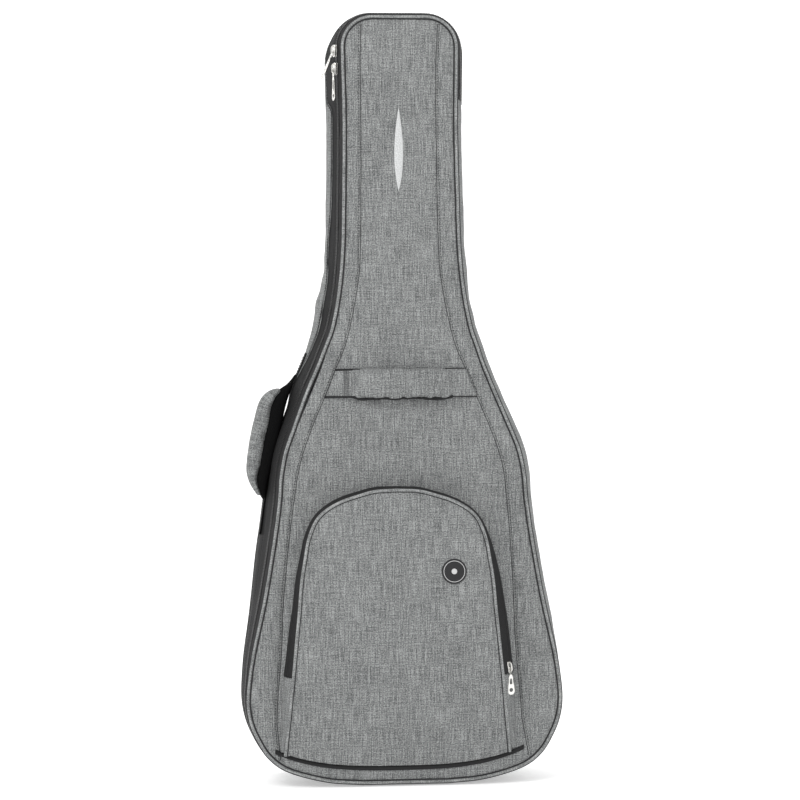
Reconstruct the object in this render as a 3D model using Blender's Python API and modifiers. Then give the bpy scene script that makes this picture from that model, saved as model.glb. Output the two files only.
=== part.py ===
"""Padded gig bag for an acoustic guitar, standing upright on its base.

Metres, +Z up, the front faces -Y.  The origin is the centre of the flat base.
The tray is the shell that holds the guitar; the lid is the padded front,
hinged on the fabric wall at its right and zipped round the other sides.
"""
import bpy
import bmesh
from math import cos, pi, radians, sin
from mathutils import Matrix, Vector

# Half widths of the front seam at heights above the floor, base to neck top.
SEAM = [(0.000, 0.008), (0.060, 0.008), (0.110, 0.0125), (0.162, 0.027), (0.189, 0.046),
        (0.206, 0.073), (0.215, 0.097), (0.218, 0.123), (0.215, 0.157), (0.209, 0.193),
        (0.194, 0.264), (0.180, 0.348), (0.1735, 0.400), (0.1715, 0.437), (0.165, 0.472),
        (0.150, 0.509), (0.1315, 0.550), (0.115, 0.588), (0.105, 0.616), (0.094, 0.649),
        (0.085, 0.701), (0.080, 0.756), (0.078, 0.828), (0.076, 0.930), (0.076, 1.000)]
HEAD_R = 0.040          # radius of the head's top corners
HEAD_X = 0.036          # centre of that corner
HEAD_Z = 1.040
# Half widths of the topstitched seams that part the front into three strips.
STRIP = [(0.175, 0.036), (0.174, 0.060), (0.171, 0.123), (0.165, 0.193), (0.162, 0.264),
         (0.156, 0.345), (0.149, 0.410), (0.142, 0.455), (0.126, 0.503), (0.1065, 0.549),
         (0.091, 0.588), (0.079, 0.616), (0.070, 0.649), (0.060, 0.701), (0.055, 0.756),
         (0.053, 0.930), (0.054, 1.0757)]
# Half widths of the front pocket, top of the arch first.
ARCH = [(0.000, 0.4155), (0.030, 0.4140), (0.051, 0.4087), (0.076, 0.4005), (0.097, 0.389),
        (0.1115, 0.374), (0.1215, 0.349), (0.1265, 0.322), (0.1315, 0.290), (0.135, 0.250),
        (0.139, 0.210), (0.1425, 0.173), (0.144, 0.158)]
BULGE = 0.014           # how far the side walls swell past the front seam
BULGE_BASE = 0.008
FABRIC = 0.0012
GAP = 0.0003
WALL_FOAM = 0.009
LINING = 0.0010

FRONT_Y = -0.0765       # outer face of the lid
LID_FOAM_Y = (-0.0748, -0.0590)
LID_LINING_Y = (-0.0587, -0.0575)
BACK_Y = 0.0765
BACK_FOAM_Y = (0.0590, 0.0748)
BACK_LINING_Y = (0.0575, 0.0587)
PIPING_R = 0.0025
PIPING_Y = 0.0735
COIL_Y = -0.0561        # where the two halves of the main zip meet
TAPE_EDGE_Y = -0.0120    # how far back the zip's black strip reaches

ZIP_TOP_Z = 0.967       # main zip runs from here on the right, over the head,
ZIP_LOW_Z = 0.127       # down the left and under the base, to here on the right
LID_ZIP_SHORT = 0.0040

POCKET_Y = -0.112
POCKET_T = 0.006
POCKET_X = -0.0115       # the pocket is sewn on a little left of the middle
POCKET_FOLD_Z = 0.158   # the pocket's flap folds down about this level
POCKET_FOLD_HALF = 0.144
POCKET_FOOT_HALF = 0.1555
POCKET_FOOT_Y = -0.086
TRIM_X = -0.008
TRIM_HALF = 0.175

GREY = (0.235, 0.238, 0.243, 1.0)
BLACK = (0.018, 0.018, 0.020, 1.0)
FOAM = (0.10, 0.10, 0.11, 1.0)
PLUSH = (0.045, 0.046, 0.050, 1.0)
NICKEL = (0.66, 0.65, 0.62, 1.0)

for old in list(bpy.data.objects):
    bpy.data.objects.remove(old, do_unlink=True)

bag = bpy.data.collections.new("padded_gig_bag")
bpy.context.scene.collection.children.link(bag)


def material(name, colour, roughness, metallic=0.0):
    mat = bpy.data.materials.new(name)
    mat.use_nodes = True
    shader = mat.node_tree.nodes["Principled BSDF"]
    shader.inputs["Base Color"].default_value = colour
    shader.inputs["Roughness"].default_value = roughness
    shader.inputs["Metallic"].default_value = metallic
    mat.diffuse_color = colour
    return mat


def finish(bm, name, colour, roughness=0.9, metallic=0.0, bevel=0.0, segments=2):
    """Turn a bmesh into a named node with its own material."""
    bmesh.ops.recalc_face_normals(bm, faces=bm.faces)
    mesh = bpy.data.meshes.new(name)
    bm.to_mesh(mesh)
    bm.free()
    mesh.polygons.foreach_set("use_smooth", [True] * len(mesh.polygons))
    mesh.set_sharp_from_angle(angle=radians(40))
    obj = bpy.data.objects.new(name, mesh)
    bag.objects.link(obj)
    mesh.materials.append(material(name, colour, roughness, metallic))
    if bevel:
        mod = obj.modifiers.new("Bevel", "BEVEL")
        mod.width = bevel
        mod.segments = segments
        mod.limit_method = "ANGLE"
        mod.angle_limit = radians(50)
    return obj


# ---------------------------------------------------------------- outlines
def smooth_curve(keys, steps=16):
    """Catmull-Rom curve through the keys."""
    points = []
    for i in range(len(keys) - 1):
        p1 = Vector(keys[i])
        p2 = Vector(keys[i + 1])
        p0 = Vector(keys[i - 1]) if i else p1 * 2 - p2
        p3 = Vector(keys[i + 2]) if i + 2 < len(keys) else p2 * 2 - p1
        for k in range(steps):
            t = k / steps
            a = 2 * p1 + (p2 - p0) * t
            b = (2 * p0 - 5 * p1 + 4 * p2 - p3) * t * t
            c = (3 * p1 - p0 - 3 * p2 + p3) * t ** 3
            points.append(0.5 * (a + b + c))
    points.append(Vector(keys[-1]))
    return points


def thin(points, keep, tolerance):
    """Drop the points that lie within tolerance of the chord past them."""
    picked = [0]
    while picked[-1] < len(points) - 1:
        start = picked[-1]
        end = start + 1
        while end < len(points) - 1 and end not in keep:
            chord = points[end + 1] - points[start]
            side = Vector((-chord.y, chord.x)).normalized()
            span = points[start + 1:end + 1]
            if max(abs((p - points[start]).dot(side)) for p in span) > tolerance:
                break
            if chord.length > 0.075:
                break
            end += 1
        picked.append(end)
    return picked


def nearest(points, test):
    return min(range(len(points)), key=lambda i: abs(test(points[i])))


def half_seam():
    """Right half of the front seam from base centre to head centre."""
    flat = [Vector(SEAM[0]), Vector((0.030, SEAM[0][1]))]
    side = smooth_curve(SEAM[1:])
    side = [Vector((p.x, max(p.y, SEAM[0][1]))) for p in side]
    arc = []
    for k in range(0, 25):
        a = radians(90) * k / 24
        arc.append(Vector((HEAD_X + HEAD_R * cos(a), HEAD_Z + HEAD_R * sin(a))))
    return flat + side + arc + [Vector((0.017, HEAD_Z + HEAD_R)), Vector((0.0, HEAD_Z + HEAD_R))]


DENSE = half_seam()
I_STRIP_LOW = nearest(DENSE[:200], lambda p: p.x - STRIP[0][0] if p.y < 0.06 else 9)
I_ZIP_LOW = nearest(DENSE, lambda p: p.y - ZIP_LOW_Z)
I_ZIP_TOP = nearest(DENSE, lambda p: p.y - ZIP_TOP_Z)
I_STRIP_TOP = nearest(DENSE, lambda p: p.x - STRIP[-1][0] if p.y > 1.05 else 9)
FORCED = {1, 2, I_STRIP_LOW, I_ZIP_LOW, I_ZIP_TOP, I_STRIP_TOP, len(DENSE) - 2}
PICKED = thin(DENSE, FORCED, 0.0005)


def smoothstep(t):
    t = min(max(t, 0.0), 1.0)
    return t * t * (3 - 2 * t)


def bulge_at(z):
    return BULGE_BASE + (BULGE - BULGE_BASE) * smoothstep((z - 0.10) / 0.17)


def stations():
    """Round the whole seam from base centre, up the right, over the head, down the left.

    Each station is (point, outward normal, bulge)."""
    right = []
    for i in PICKED:
        before = DENSE[max(i - 1, 0)]
        after = DENSE[min(i + 1, len(DENSE) - 1)]
        run = (after - before).normalized()
        normal = Vector((run.y, -run.x))
        if DENSE[i].x < 1e-6:
            normal = Vector((0.0, -1.0 if i == 0 else 1.0))
        if i in (1, 2):
            normal = Vector((0.0, -1.0))
        right.append((DENSE[i], normal, bulge_at(DENSE[i].y)))
    left = [(Vector((-p.x, p.y)), Vector((-n.x, n.y)), b) for p, n, b in reversed(right[1:-1])]
    return right + left


ROUND = stations()
COUNT = len(ROUND)
A_STRIP_LOW = PICKED.index(I_STRIP_LOW)
A_ZIP_LOW = PICKED.index(I_ZIP_LOW)
A_ZIP_TOP = PICKED.index(I_ZIP_TOP)
A_STRIP_TOP = PICKED.index(I_STRIP_TOP)


def span(first, last):
    """Stations from first to last, counting round through the base if needed."""
    if last < first:
        last += COUNT
    return [ROUND[i % COUNT] for i in range(first, last + 1)]


def offset(point, normal, distance):
    return point + normal * distance


# ------------------------------------------------------------ solid makers
def loft(name, loops, colour, closed=False, **kw):
    """Closed solid through equal rings of points."""
    bm = bmesh.new()
    rings = [[bm.verts.new(p) for p in ring] for ring in loops]
    n = len(rings[0])
    last = len(rings) if closed else len(rings) - 1
    for i in range(last):
        a = rings[i]
        b = rings[(i + 1) % len(rings)]
        for k in range(n):
            bm.faces.new((a[k], a[(k + 1) % n], b[(k + 1) % n], b[k]))
    if not closed:
        bm.faces.new(rings[0])
        bm.faces.new(list(reversed(rings[-1])))
    return finish(bm, name, colour, **kw)


def wall(name, line, section, colour, closed=False, **kw):
    """Sweep a section round the seam; section points are (bulge share, inset, y)."""
    loops = []
    for point, normal, bulge in line:
        ring = []
        for share, inset, y in section:
            at = offset(point, normal, share * bulge - inset)
            ring.append((at.x, y, at.y))
        loops.append(ring)
    return loft(name, loops, colour, closed, **kw)


def sheet(outer, thickness):
    """Section of one layer: the outer points, then the same set inwards."""
    return [(s, 0.0, y) for s, y in outer] + [(s, thickness, y) for s, y in reversed(outer)]


def plate(name, outline, y0, y1, colour, **kw):
    """Flat panel: an outline in X and Z, extruded along Y."""
    bm = bmesh.new()
    verts = [bm.verts.new((p[0], y0, p[1])) for p in outline]
    face = bm.faces.new(verts)
    moved = bmesh.ops.extrude_face_region(bm, geom=[face])["geom"]
    moved = [v for v in moved if isinstance(v, bmesh.types.BMVert)]
    bmesh.ops.translate(bm, vec=(0, y1 - y0, 0), verts=moved)
    return finish(bm, name, colour, **kw)


def box(name, lo, hi, colour, bevel=0.001, **kw):
    bm = bmesh.new()
    size = Vector(hi) - Vector(lo)
    bmesh.ops.create_cube(bm, size=1.0)
    bmesh.ops.scale(bm, vec=size, verts=bm.verts)
    bmesh.ops.translate(bm, vec=(Vector(hi) + Vector(lo)) / 2, verts=bm.verts)
    return finish(bm, name, colour, bevel=bevel, **kw)


def tube(name, points, radius, colour, closed=True, sides=6, squash=1.0, **kw):
    """Round cord through points given in X, Y, Z."""
    loops = []
    n = len(points)
    for i, p in enumerate(points):
        before = points[(i - 1) % n] if closed or i else points[i]
        after = points[(i + 1) % n] if closed or i < n - 1 else points[i]
        run = (after - before).normalized()
        side = run.cross(Vector((0, 1, 0)))
        if side.length < 0.1:
            side = run.cross(Vector((1, 0, 0)))
        side.normalize()
        up = side.cross(run)
        ring = []
        for k in range(sides):
            a = 2 * pi * k / sides
            ring.append(p + side * radius * cos(a) + up * radius * squash * sin(a))
        loops.append(ring)
    return loft(name, loops, colour, closed, **kw)


def strap(name, path, across, width, thickness, colour, **kw):
    """Flat webbing along a path, with its width along the vector across."""
    loops = []
    across = Vector(across).normalized()
    for i, p in enumerate(path):
        p = Vector(p)
        run = (Vector(path[min(i + 1, len(path) - 1)]) - Vector(path[max(i - 1, 0)])).normalized()
        up = run.cross(across).normalized()
        side = up.cross(run)
        w = width[i] / 2 if isinstance(width, (list, tuple)) else width / 2
        t = thickness[i] / 2 if isinstance(thickness, (list, tuple)) else thickness / 2
        c = min(w, t) * 0.6
        corners = [(w, t - c), (w - c, t), (c - w, t), (-w, t - c),
                   (-w, c - t), (c - w, -t), (w - c, -t), (w, c - t)]
        loops.append([p + side * a + up * b for a, b in corners])
    return loft(name, loops, colour, **kw)


def polygon_mesh(outline, holes, depth):
    """Flat plate with holes from a filled 2D curve, as a mesh centred on Z."""
    curve = bpy.data.curves.new("plate", "CURVE")
    curve.dimensions = "2D"
    curve.fill_mode = "BOTH"
    curve.extrude = depth / 2
    for ring in [outline] + holes:
        spline = curve.splines.new("POLY")
        spline.points.add(len(ring) - 1)
        for point, (x, y) in zip(spline.points, ring):
            point.co = (x, y, 0.0, 1.0)
        spline.use_cyclic_u = True
    holder = bpy.data.objects.new("plate", curve)
    bag.objects.link(holder)
    bpy.context.view_layer.update()
    graph = bpy.context.evaluated_depsgraph_get()
    mesh = bpy.data.meshes.new_from_object(holder.evaluated_get(graph))
    bpy.data.objects.remove(holder, do_unlink=True)
    bpy.data.curves.remove(curve)
    bm = bmesh.new()
    bm.from_mesh(mesh)
    bpy.data.meshes.remove(mesh)
    bmesh.ops.remove_doubles(bm, verts=bm.verts, dist=0.00002)
    return bm


def circle(x, y, r, n=12):
    return [(x + r * cos(2 * pi * k / n), y + r * sin(2 * pi * k / n)) for k in range(n)]


# ------------------------------------------------------------------- tray
inner = FABRIC + GAP
outer_zip = [(1.0, TAPE_EDGE_Y + GAP), (1.0, 0.040), (0.86, 0.056), (0.28, 0.0702)]
outer_hinge = [(0.28, -0.0702), (0.84, -0.046), (1.0, -0.024), (1.0, 0.040), (0.86, 0.056),
               (0.28, 0.0702)]

left_low = COUNT - A_ZIP_LOW
left_top = COUNT - A_ZIP_TOP
wall("wall_outer_right", span(A_ZIP_LOW, A_ZIP_TOP), sheet(outer_hinge, FABRIC), GREY)


def trimmed(line, first=GAP, last=True):
    """The same run with its ends pulled in, so neighbours don't touch."""
    out = list(line)
    if first:
        p, n, b = out[0]
        step = (out[1][0] - p).normalized() * first
        out[0] = (p + step, n, b)
    if last:
        p, n, b = out[-1]
        step = (out[-2][0] - p).normalized() * GAP
        out[-1] = (p + step, n, b)
    return out


head_line = trimmed(span(A_ZIP_TOP, left_top))
left_line = span(left_top, left_low)
base_line = trimmed(span(left_low, A_ZIP_LOW))
wall("wall_outer_head", head_line, sheet(outer_zip, FABRIC), GREY)
wall("wall_outer_left", left_line, sheet(outer_zip, FABRIC), GREY)
wall("wall_outer_base", base_line, sheet(outer_zip, FABRIC), GREY)

foam_outer = [(0.93, -0.0320), (1.0, -0.024), (1.0, 0.040), (0.86, 0.0540)]
foam_section = [(s, inner, y) for s, y in foam_outer]
foam_section += [(s, inner + WALL_FOAM, y) for s, y in reversed(foam_outer)]
wall("wall_foam_right", span(A_ZIP_LOW, A_ZIP_TOP), foam_section, FOAM)
wall("wall_foam_head", head_line, foam_section, FOAM)
wall("wall_foam_left", left_line, foam_section, FOAM)
wall("wall_foam_base", base_line, foam_section, FOAM)
lining_in = inner + WALL_FOAM + 2 * GAP
lining_outer = [(0.93, -0.0322), (1.0, -0.024), (1.0, 0.040), (0.84, 0.0568)]
wall("wall_lining", ROUND, [(s, lining_in, y) for s, y in lining_outer] +
     [(s, lining_in + LINING, y) for s, y in reversed(lining_outer)], PLUSH, closed=True)


def seam_outline(inset, which=None):
    return [offset(p, n, -inset) for p, n, b in (which or ROUND)]


plate("back_panel", seam_outline(0.0), BACK_FOAM_Y[1] + GAP, BACK_Y, GREY)
plate("back_foam", seam_outline(0.0012), BACK_FOAM_Y[0], BACK_FOAM_Y[1], FOAM, bevel=0.003, segments=1)
plate("back_lining", seam_outline(0.002), BACK_LINING_Y[0], BACK_LINING_Y[1], PLUSH)


def piping(name, y, line, colour=GREY):
    points = [offset(p, n, PIPING_R + 0.0003) for p, n, b in line]
    return tube(name, [Vector((p.x, y, p.y)) for p in points], PIPING_R, colour)


piping("back_piping", PIPING_Y, ROUND)

zip_run = span(A_ZIP_TOP, A_ZIP_LOW)
zip_line = trimmed(zip_run)
tape_tray = [(0.62, COIL_Y + 0.0007), (0.91, -0.0330), (1.0, -0.0250), (1.0, TAPE_EDGE_Y)]
wall("zip_tape_tray", zip_line, sheet(tape_tray, 0.0010), BLACK)
wall("zip_coil_tray", zip_line,
     [(0.62, -0.0018, COIL_Y + 0.0004), (0.65, -0.0018, COIL_Y + 0.0030),
      (0.67, -0.0004, COIL_Y + 0.0038), (0.62, -0.0004, COIL_Y + 0.0004)], BLACK)

# ------------------------------------------------------- padding inside tray
neck_half = 0.0790
notch = [(-0.074, 0.0570), (-neck_half, 0.038), (-neck_half, -0.020), (-0.036, -0.020), (-0.034, 0.008),
         (0.034, 0.008), (0.036, -0.020), (neck_half, -0.020), (neck_half, 0.038), (0.074, 0.0570)]
bm = bmesh.new()
face = bm.faces.new([bm.verts.new((x, y, 0.735)) for x, y in notch])
grown = bmesh.ops.extrude_face_region(bm, geom=[face])["geom"]
bmesh.ops.translate(bm, vec=(0, 0, 0.085), verts=[v for v in grown if isinstance(v, bmesh.types.BMVert)])
neck_rest = finish(bm, "neck_rest", PLUSH, bevel=0.004)
strap("neck_strap", [(-0.0765, -0.0218, 0.777), (-0.040, -0.0222, 0.777), (0.0, -0.0225, 0.777),
                     (0.040, -0.0222, 0.777), (0.0765, -0.0218, 0.777)], (0, 0, 1), 0.038, 0.0022, BLACK)
edge = [p for p in seam_outline(0.0060) if abs(p.x) < 0.125 and p.y < 0.05]
right_edge = sorted([p for p in edge if p.x >= 0], key=lambda p: p.x)
left_edge = sorted([p for p in edge if p.x < 0], key=lambda p: p.x)
plate("end_pad", left_edge + right_edge + [Vector((0.120, 0.036)), Vector((-0.120, 0.036))],
      -0.036, 0.0565, PLUSH, bevel=0.003, segments=1)

# -------------------------------------------------------------------- lid
def lean(z):
    """How far the strips' seams sit left of the middle at a height."""
    low = min(max((z - 0.036) / 0.060, 0.0), 1.0)
    high = min(max((1.0757 - z) / 0.060, 0.0), 1.0)
    rise = min(max((z - 0.25) / 0.20, 0.0), 1.0)
    return -(0.0080 - 0.0055 * rise) * low * high


PROFILE = smooth_curve(STRIP, 12)
STRIP_PTS = [PROFILE[i] for i in thin(PROFILE, set(), 0.0005)]
lid_y = (FRONT_Y, LID_FOAM_Y[0] - GAP)
seam_gap = 0.0002
right_strip = [Vector((p.x - seam_gap + lean(p.y), p.y)) for p in STRIP_PTS[1:-1]]
left_strip = [Vector((-p.x + seam_gap + lean(p.y), p.y)) for p in reversed(STRIP_PTS[1:-1])]
low_arc = seam_outline(0.0, span(COUNT - A_STRIP_LOW, A_STRIP_LOW))
top_arc = seam_outline(0.0, span(A_STRIP_TOP, COUNT - A_STRIP_TOP))
for arc in (low_arc, top_arc):
    for k in (0, -1):
        arc[k] = Vector((arc[k].x - seam_gap * (1 if arc[k].x > 0 else -1), arc[k].y))
centre = low_arc + right_strip + top_arc + left_strip
plate("front_centre_panel", centre, lid_y[0], lid_y[1], GREY)
for side, name in ((1, "front_strip_right"), (-1, "front_strip_left")):
    edge = seam_outline(0.0, span(A_STRIP_LOW, A_STRIP_TOP))
    edge[0] = Vector((edge[0].x + seam_gap, edge[0].y))
    edge[-1] = Vector((edge[-1].x + seam_gap, edge[-1].y))
    strip = [Vector((p.x + seam_gap + side * lean(p.y), p.y)) for p in reversed(STRIP_PTS[1:-1])]
    plate(name, [(side * p.x, p.y) for p in edge + strip], lid_y[0], lid_y[1], GREY)
plate("front_foam", seam_outline(0.0012), LID_FOAM_Y[0], LID_FOAM_Y[1], FOAM, bevel=0.003, segments=1)
plate("front_lining", seam_outline(0.002), LID_LINING_Y[0], LID_LINING_Y[1], PLUSH)
piping("front_piping", -PIPING_Y, ROUND)
# the lid's half ends short of the hinged side, so it swings clear of that wall
lid_zip_line = trimmed(zip_run, LID_ZIP_SHORT)
tape_lid = [(0.30, -0.0702), (0.60, COIL_Y - 0.0007)]
wall("zip_tape_lid", lid_zip_line, sheet(tape_lid, 0.0010), BLACK)
wall("zip_coil_lid", lid_zip_line,
     [(0.53, -0.0004, COIL_Y - 0.0038), (0.56, -0.0018, COIL_Y - 0.0030),
      (0.60, -0.0018, COIL_Y - 0.0004), (0.60, -0.0004, COIL_Y - 0.0004)], BLACK)

# a slim lozenge worked in satin stitch on the head
mark = [(0.0, 0.839), (0.0075, 0.868), (0.0085, 0.892), (0.004, 0.925), (0.0, 0.957),
        (-0.004, 0.925), (-0.0085, 0.892), (-0.0075, 0.868)]
plate("stitched_mark", mark, FRONT_Y - 0.0011, FRONT_Y - GAP, (0.55, 0.55, 0.56, 1), bevel=0.0003)


# ----------------------------------------------------------------- pocket
def trim_z(x):
    return 0.027 + 0.0255 * (abs(x - TRIM_X) / TRIM_HALF) ** 3


def pocket_face(z):
    """Front face of the pocket: upright above the fold, sloping in below it."""
    if z >= POCKET_FOLD_Z:
        return POCKET_Y
    share = (POCKET_FOLD_Z - z) / (POCKET_FOLD_Z - 0.030)
    return POCKET_Y + (POCKET_FOOT_Y - POCKET_Y) * share


arch_dense = smooth_curve(ARCH, 12)
arch_half = [arch_dense[i] for i in thin(arch_dense, set(), 0.0004)]
arch_line = []
for i, p in enumerate(arch_half):
    before = arch_half[max(i - 1, 0)]
    after = arch_half[min(i + 1, len(arch_half) - 1)]
    run = (after - before).normalized()
    arch_line.append((p, Vector((-run.y, run.x)) if i else Vector((0, 1)), 1.0))
arch_left = [(Vector((-p.x, p.y)), Vector((-n.x, n.y)), 1.0) for p, n, b in reversed(arch_line[1:])]
arch_line = arch_left + arch_line
arch_line = [(p + Vector((POCKET_X, 0)), n, b) for p, n, b in arch_line]
flap_edge = [Vector((p.x, p.y)) for p, n, b in arch_line]
plate("pocket_flap_panel", flap_edge, POCKET_Y, POCKET_Y + POCKET_T, GREY, bevel=0.002)

foot = [POCKET_X + POCKET_FOOT_HALF * (1 - k / 4) for k in range(9)]
lower = [(POCKET_X + side * POCKET_FOLD_HALF, POCKET_FOLD_Z - GAP) for side in (-1, 1)]
lower += [(x, trim_z(x) + 0.0042) for x in foot]
bm = bmesh.new()
face = bm.faces.new([bm.verts.new((x, pocket_face(z), z)) for x, z in lower])
grown = bmesh.ops.extrude_face_region(bm, geom=[face])["geom"]
bmesh.ops.translate(bm, vec=(0, POCKET_T, 0), verts=[v for v in grown if isinstance(v, bmesh.types.BMVert)])
finish(bm, "pocket_lower_panel", GREY, bevel=0.0015)


def arch_wall(name, section, colour, line=arch_line, **kw):
    loops = [[(p.x + n.x * b, y, p.y + n.y * b) for b, y in section] for p, n, _ in line]
    return loft(name, loops, colour, **kw)


piping_points = [Vector((p.x + n.x * 0.0023, POCKET_Y + 0.0032, p.y + n.y * 0.0023)) for p, n, _ in arch_line]
tube("pocket_piping", piping_points, 0.0020, GREY, closed=False)
flap_zip = [(0.0022, -0.1060), (0.0100, -0.0942), (0.0090, -0.0942), (0.0012, -0.1055)]
base_zip = [(0.0104, -0.0935), (0.0126, -0.0769), (0.0116, -0.0769), (0.0094, -0.0935)]
arch_wall("pocket_zip_flap", flap_zip, BLACK)
arch_wall("pocket_zip_base", base_zip, BLACK)

for side, name in ((1, "pocket_gusset_right"), (-1, "pocket_gusset_left")):
    loops = []
    for k in range(6):
        t = k / 5
        z = (POCKET_FOLD_Z - GAP) * (1 - t) + 0.0565 * t
        x_front = POCKET_FOLD_HALF + (POCKET_FOOT_HALF - POCKET_FOLD_HALF) * t + GAP
        x_back = POCKET_FOLD_HALF + 0.0125 + 0.006 * t
        y = pocket_face(z) + 0.001
        ring = [(x_front, y), (x_back, -0.0769), (x_back - 0.0015, -0.0769), (x_front, y + 0.0035)]
        loops.append([(POCKET_X + side * x, y, z) for x, y in ring])
    loft(name, loops, GREY)

trim_xs = [TRIM_X + TRIM_HALF * (k / 8 - 1) for k in range(17)]
strap("bottom_trim", [(x, FRONT_Y - 0.0017, trim_z(x)) for x in trim_xs], (0, 0, 1), 0.007, 0.0024, BLACK)

badge_x = POCKET_X + 0.0785
badge_z = 0.304
plate("badge_patch", circle(badge_x, badge_z, 0.0175, 24), POCKET_Y - 0.0020, POCKET_Y - 0.0004, BLACK,
      bevel=0.0004)

# ---------------------------------------------------------------- handles
HANDLE_Z = 0.567
half = [(0.070, -0.0805), (0.062, -0.0870), (0.050, -0.0940), (0.030, -0.0990), (0.0, -0.1010)]
path = [(-x, y, HANDLE_Z) for x, y in half] + [(x, y, HANDLE_Z) for x, y in reversed(half[:-1])]
thick = [0.003, 0.007, 0.010, 0.012, 0.013, 0.012, 0.010, 0.007, 0.003]
strap("front_handle", path, (0, 0, 1), 0.038, thick, GREY)
for side, name in ((1, "front_handle_tab_right"), (-1, "front_handle_tab_left")):
    lo = min(side * 0.0708, side * 0.099)
    box(name, (lo, FRONT_Y - 0.0022, HANDLE_Z - 0.019), (lo + 0.0282, FRONT_Y - GAP, HANDLE_Z + 0.019),
        BLACK, bevel=0.0005)

SIDE_KEYS = [(0.562, 0.0030), (0.556, 0.0095), (0.543, 0.0150), (0.510, 0.0165), (0.475, 0.0165),
             (0.440, 0.0165), (0.417, 0.0150), (0.405, 0.0095), (0.400, 0.0030)]
SIDE_Y = -0.006
PAD_THICK = (0.005, 0.010, 0.012, 0.013, 0.012, 0.010, 0.005)


def left_crest(z, rise):
    """Point that stands off the left wall's crest at a height."""
    i = nearest(DENSE, lambda p: p.y - z)
    run = (DENSE[i + 1] - DENSE[i - 1]).normalized()
    normal = Vector((run.y, -run.x))
    out = DENSE[i] + normal * (bulge_at(z) + rise)
    return Vector((-out.x, SIDE_Y, out.y))


web_path = [left_crest(z, rise) for z, rise in SIDE_KEYS]
strap("side_handle_web", web_path, (0, 1, 0), 0.034, 0.0022, BLACK)
pad_keys = SIDE_KEYS[1:-1]
pad_path = [left_crest(z, rise + 0.0020 + t / 2) for (z, rise), t in
            zip(pad_keys, PAD_THICK)]
strap("side_handle_pad", pad_path, (0, 1, 0), 0.040, PAD_THICK, GREY)
for name, z0, z1 in (("side_handle_tab_top", 0.600, 0.5640), ("side_handle_tab_low", 0.3975, 0.350)):
    tab = [left_crest(z0 + (z1 - z0) * k / 3, 0.0022) for k in range(4)]
    strap(name, tab, (0, 1, 0), 0.036, 0.0022, BLACK)

# ------------------------------------------------------- zip sliders, pulls
SLIDER_L = 0.016
SLIDER_W = 0.0105
PULL_LIFT = 0.0025       # the pull's bar turns in the gap under the bridge
PULL_DROP = 0.0005


def slider_body(name):
    """Zip slider: X along the zip, Y across it, Z off the bag, with a bridge for the pull."""
    bm = polygon_mesh([(-0.5 * SLIDER_L, -0.30 * SLIDER_W), (0.22 * SLIDER_L, -0.5 * SLIDER_W),
                       (0.5 * SLIDER_L, -0.40 * SLIDER_W), (0.5 * SLIDER_L, 0.40 * SLIDER_W),
                       (0.22 * SLIDER_L, 0.5 * SLIDER_W), (-0.5 * SLIDER_L, 0.30 * SLIDER_W)], [], 0.0028)
    base = finish(bm, name, NICKEL, roughness=0.22, metallic=1.0)
    arch = [(-0.0062, -0.0002), (-0.0062, 0.0032), (-0.0046, 0.0048), (0.0046, 0.0048),
            (0.0062, 0.0032), (0.0062, -0.0002)]
    loops = []
    for i, (x, z) in enumerate(arch):
        inward = 0.0012
        ring = []
        for dy, dn in ((-1, 0), (1, 0), (1, 1), (-1, 1)):
            drop = dn * inward if i in (1, 2, 3, 4) else 0
            ring.append((x * (1 - dn * inward / 0.0062), dy * 0.0014, z - drop))
        loops.append(ring)
    bridge = loft(name + "_bridge", loops, NICKEL)
    join = base.modifiers.new("Join", "BOOLEAN")
    join.operation = "UNION"
    join.solver = "EXACT"
    join.object = bridge
    bridge.hide_render = True
    bridge.display_type = "WIRE"
    bag.objects.unlink(bridge)
    cutters.objects.link(bridge)
    return base, bridge


cutters = bpy.data.collections.new("joining_shapes")
bpy.context.scene.collection.children.link(cutters)


def pull_tab(name, length=0.044, width=0.0110):
    """Pull: hangs along -X from the cross bar at the origin, flat in X and Y."""
    w = width / 2
    outline = [(0.0007, -0.0030), (0.0007, 0.0030), (-0.002, 0.0036), (-0.010, 0.0034), (-0.016, 0.0034),
               (-length + 0.010, w), (-length + 0.003, w), (-length, w - 0.0030),
               (-length, -w + 0.0030), (-length + 0.003, -w), (-length + 0.010, -w), (-0.016, -0.0034),
               (-0.010, -0.0034), (-0.002, -0.0036)]
    slot = [(-0.0006, -0.0021), (-0.0006, 0.0021), (-0.0074, 0.0021), (-0.0074, -0.0021)]
    bm = polygon_mesh(outline, [slot, circle(-length + 0.0065, 0.0, 0.0026, 10)], 0.0010)
    return finish(bm, name, NICKEL, roughness=0.22, metallic=1.0)


def place(obj, at, along, off):
    """Set a piece with its X along the zip and its Z off the bag."""
    x = Vector(along).normalized()
    z = (Vector(off) - x * Vector(off).dot(x)).normalized()
    y = z.cross(x)
    turn = Matrix((x, y, z)).transposed()
    obj.matrix_world = Matrix.Translation(Vector(at)) @ turn.to_4x4()


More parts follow.
